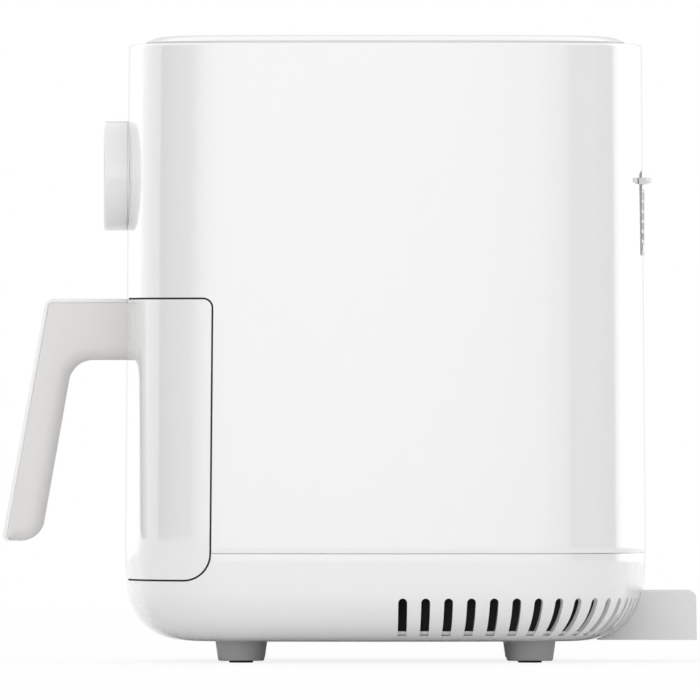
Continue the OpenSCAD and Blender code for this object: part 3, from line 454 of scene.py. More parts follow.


# Black screen that stands behind the vent slots, painted shade that keeps the slots dark, on a pale sill

ventShadeScreen = {
    "inset": 20 * mm,
    "height": 24 * mm,
    "wall": 1 * mm,
    "sillHeight": 5.2 * mm,
    "sillBack": 0.2 * mm,
    "sillFoot": 1.7 * mm,
    "sillFront": 5.8 * mm,
    "sillPlay": 0.05 * mm,
}


def makeVentShadeScreen():
    low, top = base["low"] + base["wall"], base["low"] + ventShadeScreen["height"]
    near, far = -ventShadeScreen["inset"], -ventShadeScreen["inset"] - ventShadeScreen["wall"]
    soft = ventShadeScreen["wall"] * 0.3
    # the black screen is painted shade: it fills the view through the slots with dark
    piece = sweepAroundBody("ventShadeScreen", [
        (near, low), (near, top - soft), (near - soft, top),
        (far + soft, top), (far, top - soft), (far, low)])
    smooth(piece, 38)
    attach(piece, "housing")
    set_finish(piece, "black_rubber")
    sillTop, sillLow = base["low"] + ventShadeScreen["sillHeight"], low + ventShadeScreen["sillPlay"]
    back, toe, front = (near + ventShadeScreen[part] for part in ("sillBack", "sillFoot", "sillFront"))
    sill = sweepAroundBody("ventSill", [
        (back, sillLow), (toe, sillLow), (front, sillTop - soft), (front - soft, sillTop), (back, sillTop)])
    smooth(sill, 38)
    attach(sill, "housing")
    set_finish(sill, "gloss_white")
    return piece, sill


# Top cover: a soft slope up to a flat middle, with a light grey band under its edge that is painted shade for
# the shadow line there

cover = {
    "inset": 8.2 * mm,
    "slope": 9.7 * mm,
    "step": 1 * mm,
    "shadeInset": 0.05 * mm,
    "shadeWidth": 3 * mm,
    "shadeEdge": 0.1 * mm,
}


def makeTopCover():
    top, rimZ = coverHigh.z, plan["rimZ"]
    low = rimZ + cover["step"]
    edgeU = skin(rimZ) - cover["inset"]
    flatU = edgeU - cover["slope"]
    radius = (cover["slope"] ** 2 + (top - low) ** 2) / 2 / (top - low)
    turn = math.degrees(math.asin(cover["slope"] / radius))
    middle = -plan["plateStart"]
    profile = [(middle, top)] + arc(flatU, top - radius, radius, 90, 90 - turn, 14) + [(middle, low)]
    piece = sweepAroundBody("topCover", profile)
    closePlate(piece, low, top)
    smooth(piece)
    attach(piece, "housing")
    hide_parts("top_cover")
    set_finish(piece, "gloss_white")
    # light grey band under the cover's edge: painted shade standing in for the shadow line between cover and
    # rim
    near, far, soft = edgeU - cover["shadeInset"], edgeU - cover["shadeWidth"], cover["shadeEdge"]
    shadeStrip = sweepAroundBody("coverEdgeShade", [
        (near - soft, rimZ), (near, rimZ + soft), (near, low - soft), (near - soft, low),
        (far, low), (far, rimZ)])
    smooth(shadeStrip)
    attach(shadeStrip, "housing")
    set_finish(shadeStrip, "light_grey")
    return piece, shadeStrip


# Drawer front: the body's own surface, parted off by the gap outline, with a black band in the gap as painted
# shade that darkens the gap line

drawerFront = {
    "gap": 0.5 * mm,
    "wall": 2.6 * mm,
    "lowRadius": 13.6 * mm,
    "topRadius": 5 * mm,
    "rearLean": 1.2 * mm,
    "line": 0.92 * mm,
    "margin": 2 * mm,
    "gapShadeDepth": 0.9 * mm,
    "gapShadePlay": 0.05 * mm,
}


def makeDrawerFront():
    low, high = frontLow.z - drawerFront["margin"], frontHigh.z + drawerFront["margin"]
    lowU = -(plan["seamZ"] - low) * math.tan(baseLean)
    outer = [(lowU, low), (lowU / 2, (low + plan["seamZ"]) / 2)] + wallRows(plan["seamZ"], high, 0, 8)
    inner = list(reversed([(u - drawerFront["wall"], z) for u, z in outer]))
    piece = sweepAroundBody("drawerFront", outer + inner)
    cut(piece, extrudeAcross("outline", drawerOutline(drawerFront["line"]), 3 * plan["half"]), "INTERSECT")
    tidyMesh(piece, 2 * tiny)
    smooth(piece)
    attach(piece, "drawer")
    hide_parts("drawer_front")
    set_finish(piece, "gloss_white")
    # black band just behind the gap: painted shade, so the gap reads as a dark line
    shadeStrip = sweepAroundBody("drawerGapShade", [(u - drawerFront["gapShadeDepth"], z) for u, z in outer] + inner)
    cut(shadeStrip, extrudeAcross("outline", drawerOutline(drawerFront["gapShadePlay"]), 3 * plan["half"]), "INTERSECT")
    cut(shadeStrip, extrudeAcross("middle", drawerOutline(drawerFront["line"]), 4 * plan["half"]))
    tidyMesh(shadeStrip, 2 * tiny)
    smooth(shadeStrip)
    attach(shadeStrip, "drawer")
    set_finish(shadeStrip, "black_rubber")
    return piece, shadeStrip


# Handle: a soft grip with a thin cover strip over its front and top

gripLow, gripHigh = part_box("handle_grip")
stripLow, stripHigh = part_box("handle_cover")
handle = {
    "width": gripHigh.x - gripLow.x,
    "frontTip": stripLow.y,
    "topZ": stripHigh.z,
    "lowZ": gripLow.z,
    "rootZ": 146.7 * mm,
    "rootY": frontLow.y + 10 * mm,
    "thickness": 18.4 * mm,
    "strip": 2 * mm,
    "stripEdge": 0.3 * mm,
    "tip": (3.8 * mm, 0.1 * mm),
    "stripTip": (1.6 * mm, 0.2 * mm),
    "faceZone": (110 * mm, 190 * mm),
    "tipRise": 2.2 * mm,
    "backRise": 2.8 * mm,
    "palmRadius": 12 * mm,
    "fingerRound": 7.5 * mm,
    "endRadius": 11.5 * mm,
    "cornerRadius": 4.4 * mm,
    "groove": 0.4 * mm,
    "stripReach": 2.4 * mm,
    "fingerFrom": (1 * mm, 1.2 * mm),
    "lean": 21.4 / 118,  # run forwards over height
}


def handleFront(z):
    return handle["frontTip"] + (z - handle["lowZ"] - handle["tipRise"]) * handle["lean"]


def handleEdge(inset):
    top, low = handle["topZ"] - inset, handle["lowZ"] + handle["tipRise"]
    return [
        (handleFront(low) + inset, low, 0),
        (handleFront(top) + inset, top, handle["cornerRadius"] - inset * 0.9),
        (handle["rootY"], top, 0),
    ]


def faceCutter():
    # everything behind the drawer front's outer surface
    low, high = handle["faceZone"]
    return sweepAroundBody("faceCutter", wallRows(low, high, 0, 4) + [(-reach, high), (-reach, low)])


def makeHandle():
    inset, half = handle["strip"], handle["width"] / 2
    lower, rootY = handle["lowZ"] + handle["backRise"], handle["rootY"]
    tip = (handle["frontTip"] + handle["tip"][0], handle["lowZ"] + handle["tip"][1])
    outline = roundedOutline(handleEdge(inset) + [
        (rootY, handle["rootZ"], 0),
        (handleFront(handle["rootZ"]) + handle["thickness"], handle["rootZ"], handle["palmRadius"]),
        (handleFront(lower) + handle["thickness"], handle["lowZ"], handle["endRadius"]),
        (*tip, 0),
    ], 12)
    grip = extrudeAcross("handleGrip", outline, handle["width"])

    def isOnSide(a, b):
        return abs(a.x - b.x) < tiny and abs(abs(a.x) - half) < tiny

    def isFingerEdge(a, b):
        # the finger side is well rounded, away from the strip and the root
        middle, (below, behind) = (a + b) / 2, handle["fingerFrom"]
        isUnder = middle.z < handle["topZ"] - inset - below
        isBehind = middle.y - handleFront(middle.z) > inset + behind
        isRoot = abs(a.y - rootY) < tiny and abs(b.y - rootY) < tiny
        return isOnSide(a, b) and isUnder and isBehind and not isRoot

    def isStripEdge(a, b):
        # the front and top stay crisp where the strip lies on them
        gaps = [min(abs(p.y - handleFront(p.z) - inset), abs(p.z - handle["topZ"] + inset)) for p in (a, b)]
        inReach = min(a.z, b.z) > lower - slack and max(a.y, b.y) < rootY + tiny
        return isOnSide(a, b) and max(gaps) < handle["stripReach"] and inReach

    for test, width, steps in ((isFingerEdge, handle["fingerRound"], 8), (isStripEdge, handle["groove"], 2)):
        pick(grip, "EDGE", test)
        bpy.ops.mesh.bevel(offset=width, segments=steps, profile=0.5, affect="EDGES", clamp_overlap=False)
        objectMode()
    cut(grip, faceCutter())
    smooth(grip, 38)
    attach(grip, "drawer")
    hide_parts("handle_grip")
    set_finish(grip, "matte_warm_white")

    upper = roundedOutline(handleEdge(0) + [(rootY, handle["topZ"] - inset, 0)], 12)
    under = list(reversed(roundedOutline(handleEdge(inset), 12)))
    end = (handle["frontTip"] + handle["stripTip"][0], handle["lowZ"] + handle["stripTip"][1])
    strip = extrudeAcross("handleStrip", upper + under[1:] + [Vector(tip), Vector(end)], handle["width"])
    cut(strip, faceCutter())
    applyModifier(strip, "BEVEL", width=handle["stripEdge"], segments=2, limit_method="ANGLE",
                  angle_limit=math.radians(50), use_clamp_overlap=True)
    smooth(strip, 38)
    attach(strip, "drawer")
    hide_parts("handle_cover")
    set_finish(strip, "gloss_white")
    return grip, strip


# Knob: a turned ring round a smoked lens

ringLow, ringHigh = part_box("knob_ring")
knob = {
    "radius": (ringHigh.x - ringLow.x) / 2,
    "z": (ringHigh.z + ringLow.z) / 2,
    "faceY": ringLow.y,
    "rearY": ringHigh.y,
    "edge": 1.4 * mm,
    "lip": 0.8 * mm,
    "rimWidth": 7.4 * mm,
    "wall": 3 * mm,
    "step": 6 * mm,
    "groove": 0.25 * mm,
    "grooveZone": (1.3 * mm, 0.6 * mm),
    "grooveSlope": 0.2 * mm,
    "sideFrom": 4 * mm,
    "crown": 0.35 * mm,
    "lensRim": 0.5 * mm,
    "seatY": ringHigh.y + 1.2 * mm,
}


def makeKnob():
    face, rear, radius, edge = knob["faceY"], knob["rearY"], knob["radius"], knob["edge"]
    bore, inner, step = radius - knob["rimWidth"], radius - knob["wall"], face + knob["step"]
    lip = knob["lip"]
    grooveU, (first, last) = radius - knob["groove"], (rear - y for y in knob["grooveZone"])
    axisLow, axisTurn = (0, 0, knob["z"]), (0, 1, 0)
    profile = arc(radius - edge, face + edge, edge, -90, 0, 8)
    profile += [(radius, face + knob["sideFrom"]), (radius, first), (grooveU, first + knob["grooveSlope"]),
                (grooveU, last - knob["grooveSlope"]), (radius, last), (radius, rear),
                (inner, rear), (inner, step), (bore, step)]
    profile += arc(bore + lip, face + lip, lip, 180, 270, 5)
    ring = turned("knobRing", [(r, y, knob["z"]) for r, y in profile], axisLow, axisTurn, 128)
    smooth(ring, 38)
    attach(ring, "knob_wheel")
    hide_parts("knob_ring")
    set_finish(ring, "gloss_white")

    lensLow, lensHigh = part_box("display_lens")
    lensRadius, crown, rim = (lensHigh.x - lensLow.x) / 2, knob["crown"], knob["lensRim"]
    profile = [(tiny, lensLow.y)]
    for i in range(1, 9):
        share = i / 8
        profile.append(((lensRadius - rim) * share, lensLow.y + crown * share ** 2))
    profile += [(lensRadius, lensLow.y + crown + rim * 0.8), (lensRadius, lensHigh.y), (tiny, lensHigh.y)]
    lens = turned("displayLens", [(r, y, knob["z"]) for r, y in profile], axisLow, axisTurn, 96)
    tidyMesh(lens, 3 * tiny)
    smooth(lens, 38)
    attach(lens, "knob_core")
    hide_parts("display_lens")
    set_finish(lens, "lens_smoke")
    return ring, lens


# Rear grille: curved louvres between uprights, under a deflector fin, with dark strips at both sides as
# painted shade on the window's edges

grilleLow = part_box("rear_exhaust_grille")[0]
windowPlay = 0.3 * mm  # room round the grille in its window
grille = {
    "low": grilleLow.z - windowPlay,
    "height": 41.5 * mm,
    "windowHalf": math.radians(5.4),
    "finHalf": math.radians(7.3),
    "bars": 6,
    "firstBar": 6 * mm,
    "pitch": 4.86 * mm,
    "bar": 1.9 * mm,
    "depth": 4.5 * mm,
    "proud": 0.5 * mm,
    "tieProud": 0.25 * mm,
    "tie": (5.5 * mm, 32.4 * mm),
    "tieDepth": 0.6 * mm,
    "trimWidth": 0.9 * mm,
    "trimProud": 0.7 * mm,
    "fin": 3.9 * mm,
    "edge": 0.3 * mm,
    "uprights": 3,
    "uprightWidth": 1.7 * mm,
    "uprightDepth": (1.2 * mm, 1.9 * mm),
    "sillHeight": 2 * mm,
    "sillDepth": 0.5 * mm,
    "headProud": 1 * mm,
    "headZone": (6.8 * mm, 6.6 * mm, 3.8 * mm),
    "finZone": (6.9 * mm, 5.8 * mm, 3.6 * mm),
    "trimBack": 0.5 * mm,
    "trimZone": (1.5 * mm, 2 * mm),
}
rearCentre = Vector((0, plan["centreY"] + sideAt, 0))


def rearBand(name, section, halfAngle, steps=28):
    # a section of (outward offset, height) points along the rear wall's arc
    start = Matrix.Rotation(-halfAngle, 2)
    points = []
    for u, z in section:
        spot = start @ Vector((0, plan["sideRadius"] + u))
        points.append((spot.x, spot.y + rearCentre.y, z))
    obj = drawOutline(name, points)
    bpy.ops.mesh.select_all(action="SELECT")
    bpy.ops.mesh.spin(steps=steps, angle=-2 * halfAngle, center=rearCentre, axis=(0, 0, 1), dupli=False)
    objectMode()
    tidyMesh(obj)
    return obj


def placedOnRear(first, name, angles):
    # copies of a band, turned round the rear wall's centre, in place of the first
    copies = []
    for i, angle in enumerate(angles):
        turn = Matrix.Rotation(angle, 4, "Z")
        place = Matrix.Translation(rearCentre) @ turn @ Matrix.Translation(-rearCentre)
        copies.append(copyOf(first, f"{name}{i}", place))
    remove(first)
    return copies


def makeGrille():
    half = grille["windowHalf"] - math.radians(0.1)
    low, depth, bar, edge = grille["low"], grille["depth"], grille["bar"], grille["edge"]
    top = low + grille["height"]
    surface = skin(top)
    proud = surface + grille["proud"]
    uprightHalf, edgeShadeHalf = (grille[part] / 2 / plan["sideRadius"] for part in ("uprightWidth", "trimWidth"))
    parts = []
    for i in range(grille["bars"]):
        z = low + grille["firstBar"] + grille["pitch"] * i
        parts.append(rearBand(f"louvre{i}", [
            (-depth, z), (proud - edge, z), (proud, z + edge), (proud, z + bar - edge),
            (proud - edge, z + bar), (-depth, z + bar)], half))
    sill, front = low + windowPlay, -grille["sillDepth"]
    sillTop = sill + grille["sillHeight"]
    parts.append(rearBand("sill", [
        (-depth, sill), (front - edge, sill), (front, sill + edge), (front, sillTop - edge),
        (front - edge, sillTop), (-depth, sillTop)], half))
    root, tip = surface + edge, surface + edge + grille["fin"]
    back, middle, face = (top - z for z in grille["headZone"])
    headU = root + grille["headProud"]
    parts.append(rearBand("head", [(-depth, back), (headU, middle), (headU, face), (-depth, face)], half))
    back, middle, face = (top - z for z in grille["finZone"])
    parts.append(rearBand("fin", [
        (root, face), (tip - edge, face), (tip, face - edge), (tip, middle + edge),
        (tip - edge, middle), (root, back)], grille["finHalf"]))
    lowU, topU = (-u for u in grille["uprightDepth"])
    upright = rearBand("upright", [
        (-depth, sill), (lowU, sill), (topU, top - windowPlay), (-depth, top - windowPlay)], uprightHalf, 3)
    outermost, count = half - math.radians(0.5), grille["uprights"]
    parts += placedOnRear(upright, "upright", [(2 * i / (count - 1) - 1) * outermost for i in range(count)])
    # a thin tie joins the louvres' outer edges in the middle
    tieLow, tieTop = (low + z for z in grille["tie"])
    front = proud + grille["tieProud"]
    back = front - grille["tieDepth"]
    parts.append(rearBand("tie", [
        (back, tieLow), (front - edge, tieLow), (front, tieLow + edge), (front, tieTop - edge),
        (front - edge, tieTop), (back, tieTop)], uprightHalf, 3))
    piece = joined("rearGrille", parts)
    smooth(piece, 38)
    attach(piece, "housing")
    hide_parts("rear_exhaust_grille")
    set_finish(piece, "light_grey")
    # dark strips along both sides of the window: painted shade where the window's edges fall in shadow
    front, back = surface + grille["trimProud"], surface - grille["trimBack"]
    fromLow, fromTop = grille["trimZone"]
    first = rearBand("trim", [
        (-depth, low + edge), (back, low + edge), (front, low + fromLow), (front, top - fromTop),
        (back, top - edge), (-depth, top - edge)], edgeShadeHalf, 3)
    edgeShadeAngle = grille["windowHalf"] + grille["trimWidth"] * 0.2 / plan["sideRadius"]
    trim = joined("exhaustEdgeShade", placedOnRear(first, "trim", (-edgeShadeAngle, edgeShadeAngle)))
    smooth(trim, 38)
    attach(trim, "housing")
    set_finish(trim, "foot_grey")
    return piece, trim


# Rear spacer: a thin bracket, open underneath, with three ribs

spacerLow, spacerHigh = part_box("rear_spacer")
spacer = {
    "wall": 2.5 * mm,
    "radius": 3.4 * mm,
    "rib": 2 * mm,
    "edge": 0.6 * mm,
    "lean": 0.4 * mm,
    "insert": 24 * mm,
    "hollowRadius": 1 * mm,
    "hollowOut": (5 * mm, 2 * mm),
    "stray": 8 * mm,
    "cutHeight": 60 * mm,
    "play": 0.05 * mm,
}


def makeSpacer():
    rear, top, low = spacerHigh.y, spacerHigh.z, spacerLow.z
    bodyRear = plan["centreY"] + plan["half"]
    front, lean = bodyRear - spacer["insert"], spacer["lean"]
    width, wall = spacerHigh.x - spacerLow.x, spacer["wall"]
    outline = roundedOutline([
        (front, low, 0), (rear, low, 0), (rear - lean, top, spacer["radius"]), (front, top, 0)], 8)
    piece = extrudeAcross("rearSpacer", outline, width)
    pick(piece, "EDGE", lambda a, b: abs(a.x - b.x) < tiny and (a.z + b.z) / 2 > low + tiny
         and (a.y + b.y) / 2 > front + tiny)
    bpy.ops.mesh.bevel(offset=spacer["edge"], segments=3, affect="EDGES", clamp_overlap=False)
    objectMode()
    (outFront, outLow), radius = spacer["hollowOut"], spacer["hollowRadius"]
    start, under, roof = front - outFront, low - outLow, top - wall
    hollow = roundedOutline([
        (start, under, 0), (rear - wall, under, 0), (rear - wall - lean, roof, radius), (start, roof, 0)], 6)
    cut(piece, extrudeAcross("hollow", hollow, width - 2 * wall))
    end, roof = rear - wall / 2, top - wall / 2
    ribs = [extrudeAcross(f"rib{side}", [(front, low), (end, low), (end, roof), (front, roof)],
                          spacer["rib"], side * width / 4) for side in (-1, 0, 1)]
    for rib in ribs:
        cut(piece, rib, "UNION")
    middle, play, roof = -plan["plateStart"], spacer["play"], spacer["cutHeight"]
    outer = [(u + play, z) for u, z in cupRows(0, roof)]
    cut(piece, sweepAroundBody("body", [(middle, base["low"] - play)] + outer + [(middle, roof)]))
    # what is left inside the body's hollow middle is removed
    pick(piece, "VERT", lambda p: p.y < front - spacer["stray"])
    bpy.ops.mesh.delete(type="VERT")
    objectMode()
    smooth(piece, 35)
    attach(piece, "housing")
    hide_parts("rear_spacer")
    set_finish(piece, "light_grey")
    return piece


# Feet with soft pads

foot = {
    "names": ("foot_front_left", "foot_front_right", "foot_rear_left", "foot_rear_right"),
    "lowRadius": 11.25 * mm,
    "edge": 0.9 * mm,
    "boreEdge": 0.25 * mm,
    "boreDepth": 1.6 * mm,
    "borePlay": 0.1 * mm,
    "padRadius": 5.8 * mm,
    "padEdge": 0.4 * mm,
}


def makeFoot(name):
    low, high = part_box(name)
    middle = (low + high) / 2
    edge, bore, soft = foot["edge"], foot["padRadius"] + foot["borePlay"], foot["boreEdge"]
    roof = low.z + foot["boreDepth"]
    profile = [(tiny, base["low"]), ((high.x - low.x) / 2, base["low"])]
    profile += arc(foot["lowRadius"] - edge, low.z + edge, edge, 0, -90, 6)
    profile += [(bore + soft, low.z), (bore, low.z + soft), (bore, roof), (tiny, roof)]
    end, side = name.split("_")[1:]
    piece = turned(f"foot{end}{side.title()}", [(middle.x + r, middle.y, z) for r, z in profile],
                   (middle.x, middle.y, 0), (0, 0, 1), 64)
    tidyMesh(piece, 3 * tiny)
    smooth(piece, 38)
    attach(piece, "housing")
    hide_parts(name)
    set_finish(piece, "foot_grey")
    return piece


def makeFeet():
    made = [makeFoot(name) for name in foot["names"]]
    middles = [sum(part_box(name), Vector()) / 2 for name in foot["names"]]
    first, top = middles[0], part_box("foot_pads")[1].z
    radius, edge = foot["padRadius"], foot["padEdge"]
    profile = [(tiny, top), (radius, top)] + arc(radius - edge, edge, edge, 0, -90, 4) + [(tiny, 0)]
    pad = turned("padStart", [(first.x + r, first.y, z) for r, z in profile],
                 (first.x, first.y, 0), (0, 0, 1), 48)
    tidyMesh(pad, 3 * tiny)
    shifts = [Vector((spot.x - first.x, spot.y - first.y, 0)) for spot in middles]
    copies = [copyOf(pad, f"pad{i}", Matrix.Translation(shift)) for i, shift in enumerate(shifts)]
    remove(pad)
    pads = joined("footPads", copies)
    smooth(pads, 38)
    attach(pads, "housing")
    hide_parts("foot_pads")
    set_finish(pads, "black_rubber")
    return made, pads


# Cord gland: a flanged bush with a grooved mouth

gland = {
    "barrel": 5.95 * mm,
    "bore": 3.5 * mm,
    "flange": 3 * mm,
    "edge": 0.4 * mm,
    "nose": (1.2 * mm, 0.5 * mm),
    "mouth": (0.5 * mm, 0.6 * mm),
}


def makeGland():
    low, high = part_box("cord_gland")
    middle = (low + high) / 2
    rim, barrel, bore = (high.x - low.x) / 2, gland["barrel"], gland["bore"]
    edge, (nose, noseEdge), (mouthWidth, mouthDepth) = gland["edge"], gland["nose"], gland["mouth"]
    front, back, end = low.y, low.y + gland["flange"], high.y
    profile = [
        (bore, front), (rim - edge, front), (rim, front + edge), (rim, back - edge), (rim - edge, back),
        (barrel, back), (barrel, end - nose), (barrel - noseEdge, end - edge), (barrel - nose, end),
        (bore + mouthWidth, end), (bore, end - mouthDepth)]
    points = [(middle.x + r, y, middle.z) for r, y in profile]
    piece = turned("cordGland", points, (middle.x, 0, middle.z), (0, 1, 0), 48)
    smooth(piece, 38)
    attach(piece, "housing")
    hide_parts("cord_gland")
    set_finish(piece, "dark_grey")
    return piece


# Materials: shared effects are node groups, each finish sets its own values


def newGroup(name, inputs, outputs):
    group = bpy.data.node_groups.new(name, "ShaderNodeTree")
    for label, kind, value in inputs:
        socket = group.interface.new_socket(label, in_out="INPUT", socket_type="NodeSocket" + kind)
        socket.default_value = value
    for label, kind in outputs:
        group.interface.new_socket(label, in_out="OUTPUT", socket_type="NodeSocket" + kind)
    return group, group.nodes.new("NodeGroupInput"), group.nodes.new("NodeGroupOutput")


def objectPoint(group, scale):
    # object coordinates, stretched by a scale along each axis
    point = group.nodes.new("ShaderNodeTexCoord")
    mapping = group.nodes.new("ShaderNodeMapping")
    mapping.inputs["Scale"].default_value = scale
    group.links.new(point.outputs["Object"], mapping.inputs["Vector"])
    return mapping.outputs["Vector"]


def addNoise(group, vector, detail):
    noise = group.nodes.new("ShaderNodeTexNoise")
    noise.inputs["Detail"].default_value = detail
    group.links.new(vector, noise.inputs["Vector"])
    return noise


def spreadRoughness(group, noise, given, made, low, high):
    # the noise between low and high runs over the finish's two roughness values
    link = group.links.new
    rough = group.nodes.new("ShaderNodeMapRange")
    rough.inputs["From Min"].default_value = low
    rough.inputs["From Max"].default_value = high
    link(noise.outputs["Fac"], rough.inputs["Value"])
    link(given.outputs["Rough low"], rough.inputs["To Min"])
    link(given.outputs["Rough high"], rough.inputs["To Max"])
    link(rough.outputs["Result"], made.inputs["Roughness"])


def makeGrainGroup():
    # fine moulded texture: a height for bump and a soft roughness mask
    group, given, made = newGroup("mouldedGrain", [
        ("Scale", "Float", 900.0), ("Rough low", "Float", 0.3), ("Rough high", "Float", 0.4)],
        [("Height", "Float"), ("Roughness", "Float")])
    vector = objectPoint(group, (1, 1, 1))
    fine = addNoise(group, vector, 3)
    fine.inputs["Roughness"].default_value = 0.6
    group.links.new(given.outputs["Scale"], fine.inputs["Scale"])
    group.links.new(fine.outputs["Fac"], made.inputs["Height"])
    broad = addNoise(group, vector, 4)
    broad.inputs["Scale"].default_value = 14
    spreadRoughness(group, broad, given, made, 0.35, 0.65)
    return group


def makeTintGroup():
    # slow colour variation between two close tones
    group, given, made = newGroup("toneDrift", [
        ("Tone A", "Color", (0.8, 0.8, 0.8, 1)), ("Tone B", "Color", (0.75, 0.75, 0.75, 1)),
        ("Scale", "Float", 6.0)],
        [("Color", "Color")])
    link = group.links.new
    noise = addNoise(group, objectPoint(group, (1, 1, 1)), 5)
    link(given.outputs["Scale"], noise.inputs["Scale"])
    mix = group.nodes.new("ShaderNodeMix")
    mix.data_type = "RGBA"
    link(noise.outputs["Fac"], mix.inputs["Factor"])
    link(given.outputs["Tone A"], mix.inputs["A"])
    link(given.outputs["Tone B"], mix.inputs["B"])
    link(mix.outputs["Result"], made.inputs["Color"])
    return group


def makeBrushGroup():
    # long scratches along one direction
    group, given, made = newGroup("brushedLines", [
        ("Rough low", "Float", 0.25), ("Rough high", "Float", 0.4)],
        [("Height", "Float"), ("Roughness", "Float")])
    noise = addNoise(group, objectPoint(group, (30, 900, 900)), 4)
    noise.inputs["Scale"].default_value = 1
    group.links.new(noise.outputs["Fac"], made.inputs["Height"])
    spreadRoughness(group, noise, given, made, 0.3, 0.7)
    return group


grainGroup = makeGrainGroup()
tintGroup = makeTintGroup()
brushGroup = makeBrushGroup()

finishes = {
    "gloss_white": {
        "tones": ((0.79, 0.79, 0.788), (0.78, 0.78, 0.78)),
        "rough": (0.1, 0.14), "grain": 260, "bump": 0.012, "coat": 1.0, "coatRough": 0.03, "ior": 1.5},
    "matte_warm_white": {
        "tones": ((0.70, 0.69, 0.675), (0.68, 0.67, 0.655)),
        "rough": (0.42, 0.5), "grain": 1500, "bump": 0.12},
    "light_grey": {
        "tones": ((0.71, 0.71, 0.71), (0.68, 0.68, 0.68)),
        "rough": (0.38, 0.48), "grain": 1200, "bump": 0.08},
    "dark_grey": {
        "tones": ((0.05, 0.05, 0.052), (0.04, 0.04, 0.042)),
        "rough": (0.42, 0.55), "grain": 1200, "bump": 0.1},
    "foot_grey": {
        "tones": ((0.39, 0.39, 0.395), (0.36, 0.36, 0.365)),
        "rough": (0.4, 0.5), "grain": 1400, "bump": 0.1},
    "black_rubber": {
        "tones": ((0.022, 0.022, 0.022), (0.03, 0.03, 0.03)),
        "rough": (0.7, 0.85), "grain": 1700, "bump": 0.15},
    "red_silicone": {
        "tones": ((0.42, 0.035, 0.025), (0.36, 0.03, 0.02)),
        "rough": (0.5, 0.62), "grain": 900, "bump": 0.08},
    "steel_sheet": {
        "tones": ((0.62, 0.62, 0.61), (0.56, 0.56, 0.555)),
        "rough": (0.22, 0.38), "metal": True, "bump": 0.04},
    "steel_screw": {
        "tones": ((0.52, 0.53, 0.56), (0.44, 0.45, 0.48)),
        "rough": (0.3, 0.45), "metal": True, "bump": 0.05},
    "heater_steel": {
        "tones": ((0.26, 0.22, 0.18), (0.34, 0.33, 0.33)),
        "rough": (0.4, 0.55), "metal": True, "bump": 0.08},
    "non_stick": {
        "tones": ((0.035, 0.035, 0.037), (0.05, 0.05, 0.052)),
        "rough": (0.34, 0.46), "grain": 800, "bump": 0.1},
    "aluminium": {
        "tones": ((0.78, 0.78, 0.79), (0.7, 0.7, 0.71)),
        "rough": (0.28, 0.42), "metal": True, "bump": 0.05},
    "copper_steel": {
        "tones": ((0.40, 0.38, 0.36), (0.33, 0.31, 0.3)),
        "rough": (0.35, 0.5), "metal": True, "bump": 0.06},
    "frame_ivory": {
        "tones": ((0.66, 0.64, 0.58), (0.62, 0.6, 0.54)),
        "rough": (0.4, 0.5), "grain": 1000, "bump": 0.06},
    "board_green": {
        "tones": ((0.015, 0.11, 0.05), (0.01, 0.085, 0.04)),
        "rough": (0.25, 0.35), "grain": 500, "bump": 0.05},
    "component_black": {
        "tones": ((0.02, 0.02, 0.022), (0.03, 0.03, 0.032)),
        "rough": (0.35, 0.5), "grain": 1000, "bump": 0.05},
    "lens_smoke": {
        "tones": ((0.012, 0.012, 0.014), (0.016, 0.016, 0.019)),
        "rough": (0.05, 0.08), "grain": 200, "bump": 0.004, "coat": 1.0, "coatRough": 0.02, "ior": 1.5},
}


def makeFinish(slotName, look):
    material = bpy.data.materials.new(slotName)
    material.use_nodes = True
    tree = material.node_tree
    link = tree.links.new
    shader = tree.nodes["Principled BSDF"]
    shader.inputs["IOR"].default_value = look.get("ior", 1.47)
    shader.inputs["Metallic"].default_value = 1.0 if look.get("metal") else 0.0
    shader.inputs["Coat Weight"].default_value = look.get("coat", 0.0)
    shader.inputs["Coat Roughness"].default_value = look.get("coatRough", 0.1)
    tint = tree.nodes.new("ShaderNodeGroup")
    tint.node_tree = tintGroup
    toneA, toneB = look["tones"]
    tint.inputs["Tone A"].default_value = (*toneA, 1)
    tint.inputs["Tone B"].default_value = (*toneB, 1)
    link(tint.outputs["Color"], shader.inputs["Base Color"])
    texture = tree.nodes.new("ShaderNodeGroup")
    texture.node_tree = brushGroup if look.get("metal") else grainGroup
    if not look.get("metal"):
        texture.inputs["Scale"].default_value = look["grain"]
    texture.inputs["Rough low"].default_value, texture.inputs["Rough high"].default_value = look["rough"]
    link(texture.outputs["Roughness"], shader.inputs["Roughness"])
    bump = tree.nodes.new("ShaderNodeBump")
    bump.inputs["Strength"].default_value = look["bump"]
    bump.inputs["Distance"].default_value = 0.0005
    link(texture.outputs["Height"], bump.inputs["Height"])
    link(bump.outputs["Normal"], shader.inputs["Normal"])
    return material


materials = {name: makeFinish(name, look) for name, look in finishes.items()}


def dress(obj, slotName):
    obj.data.materials.clear()
    obj.data.materials.append(materials[slotName])


# Building the pieces

pieces = []
for build in (makeUpperShell, makeBaseShell, makeVentShadeScreen, makeTopCover, makeDrawerFront, makeHandle,
              makeKnob, makeGrille, makeSpacer, makeFeet, makeGland):
    made = build()
    print("made", build.__name__)
    stack = list(made) if isinstance(made, tuple) else [made]
    for entry in stack:
        pieces += entry if isinstance(entry, list) else [entry]

for piece in pieces:
    dress(piece, piece["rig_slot"] if "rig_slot" in piece else "gloss_white")

for subpart in frame["record"]["subparts"]:
    dress(nodes[subpart["node"]], subpart["material_slot"])
print("materials set")


# Studio: pale floor, white surround with soft brighter and darker bands, long lens

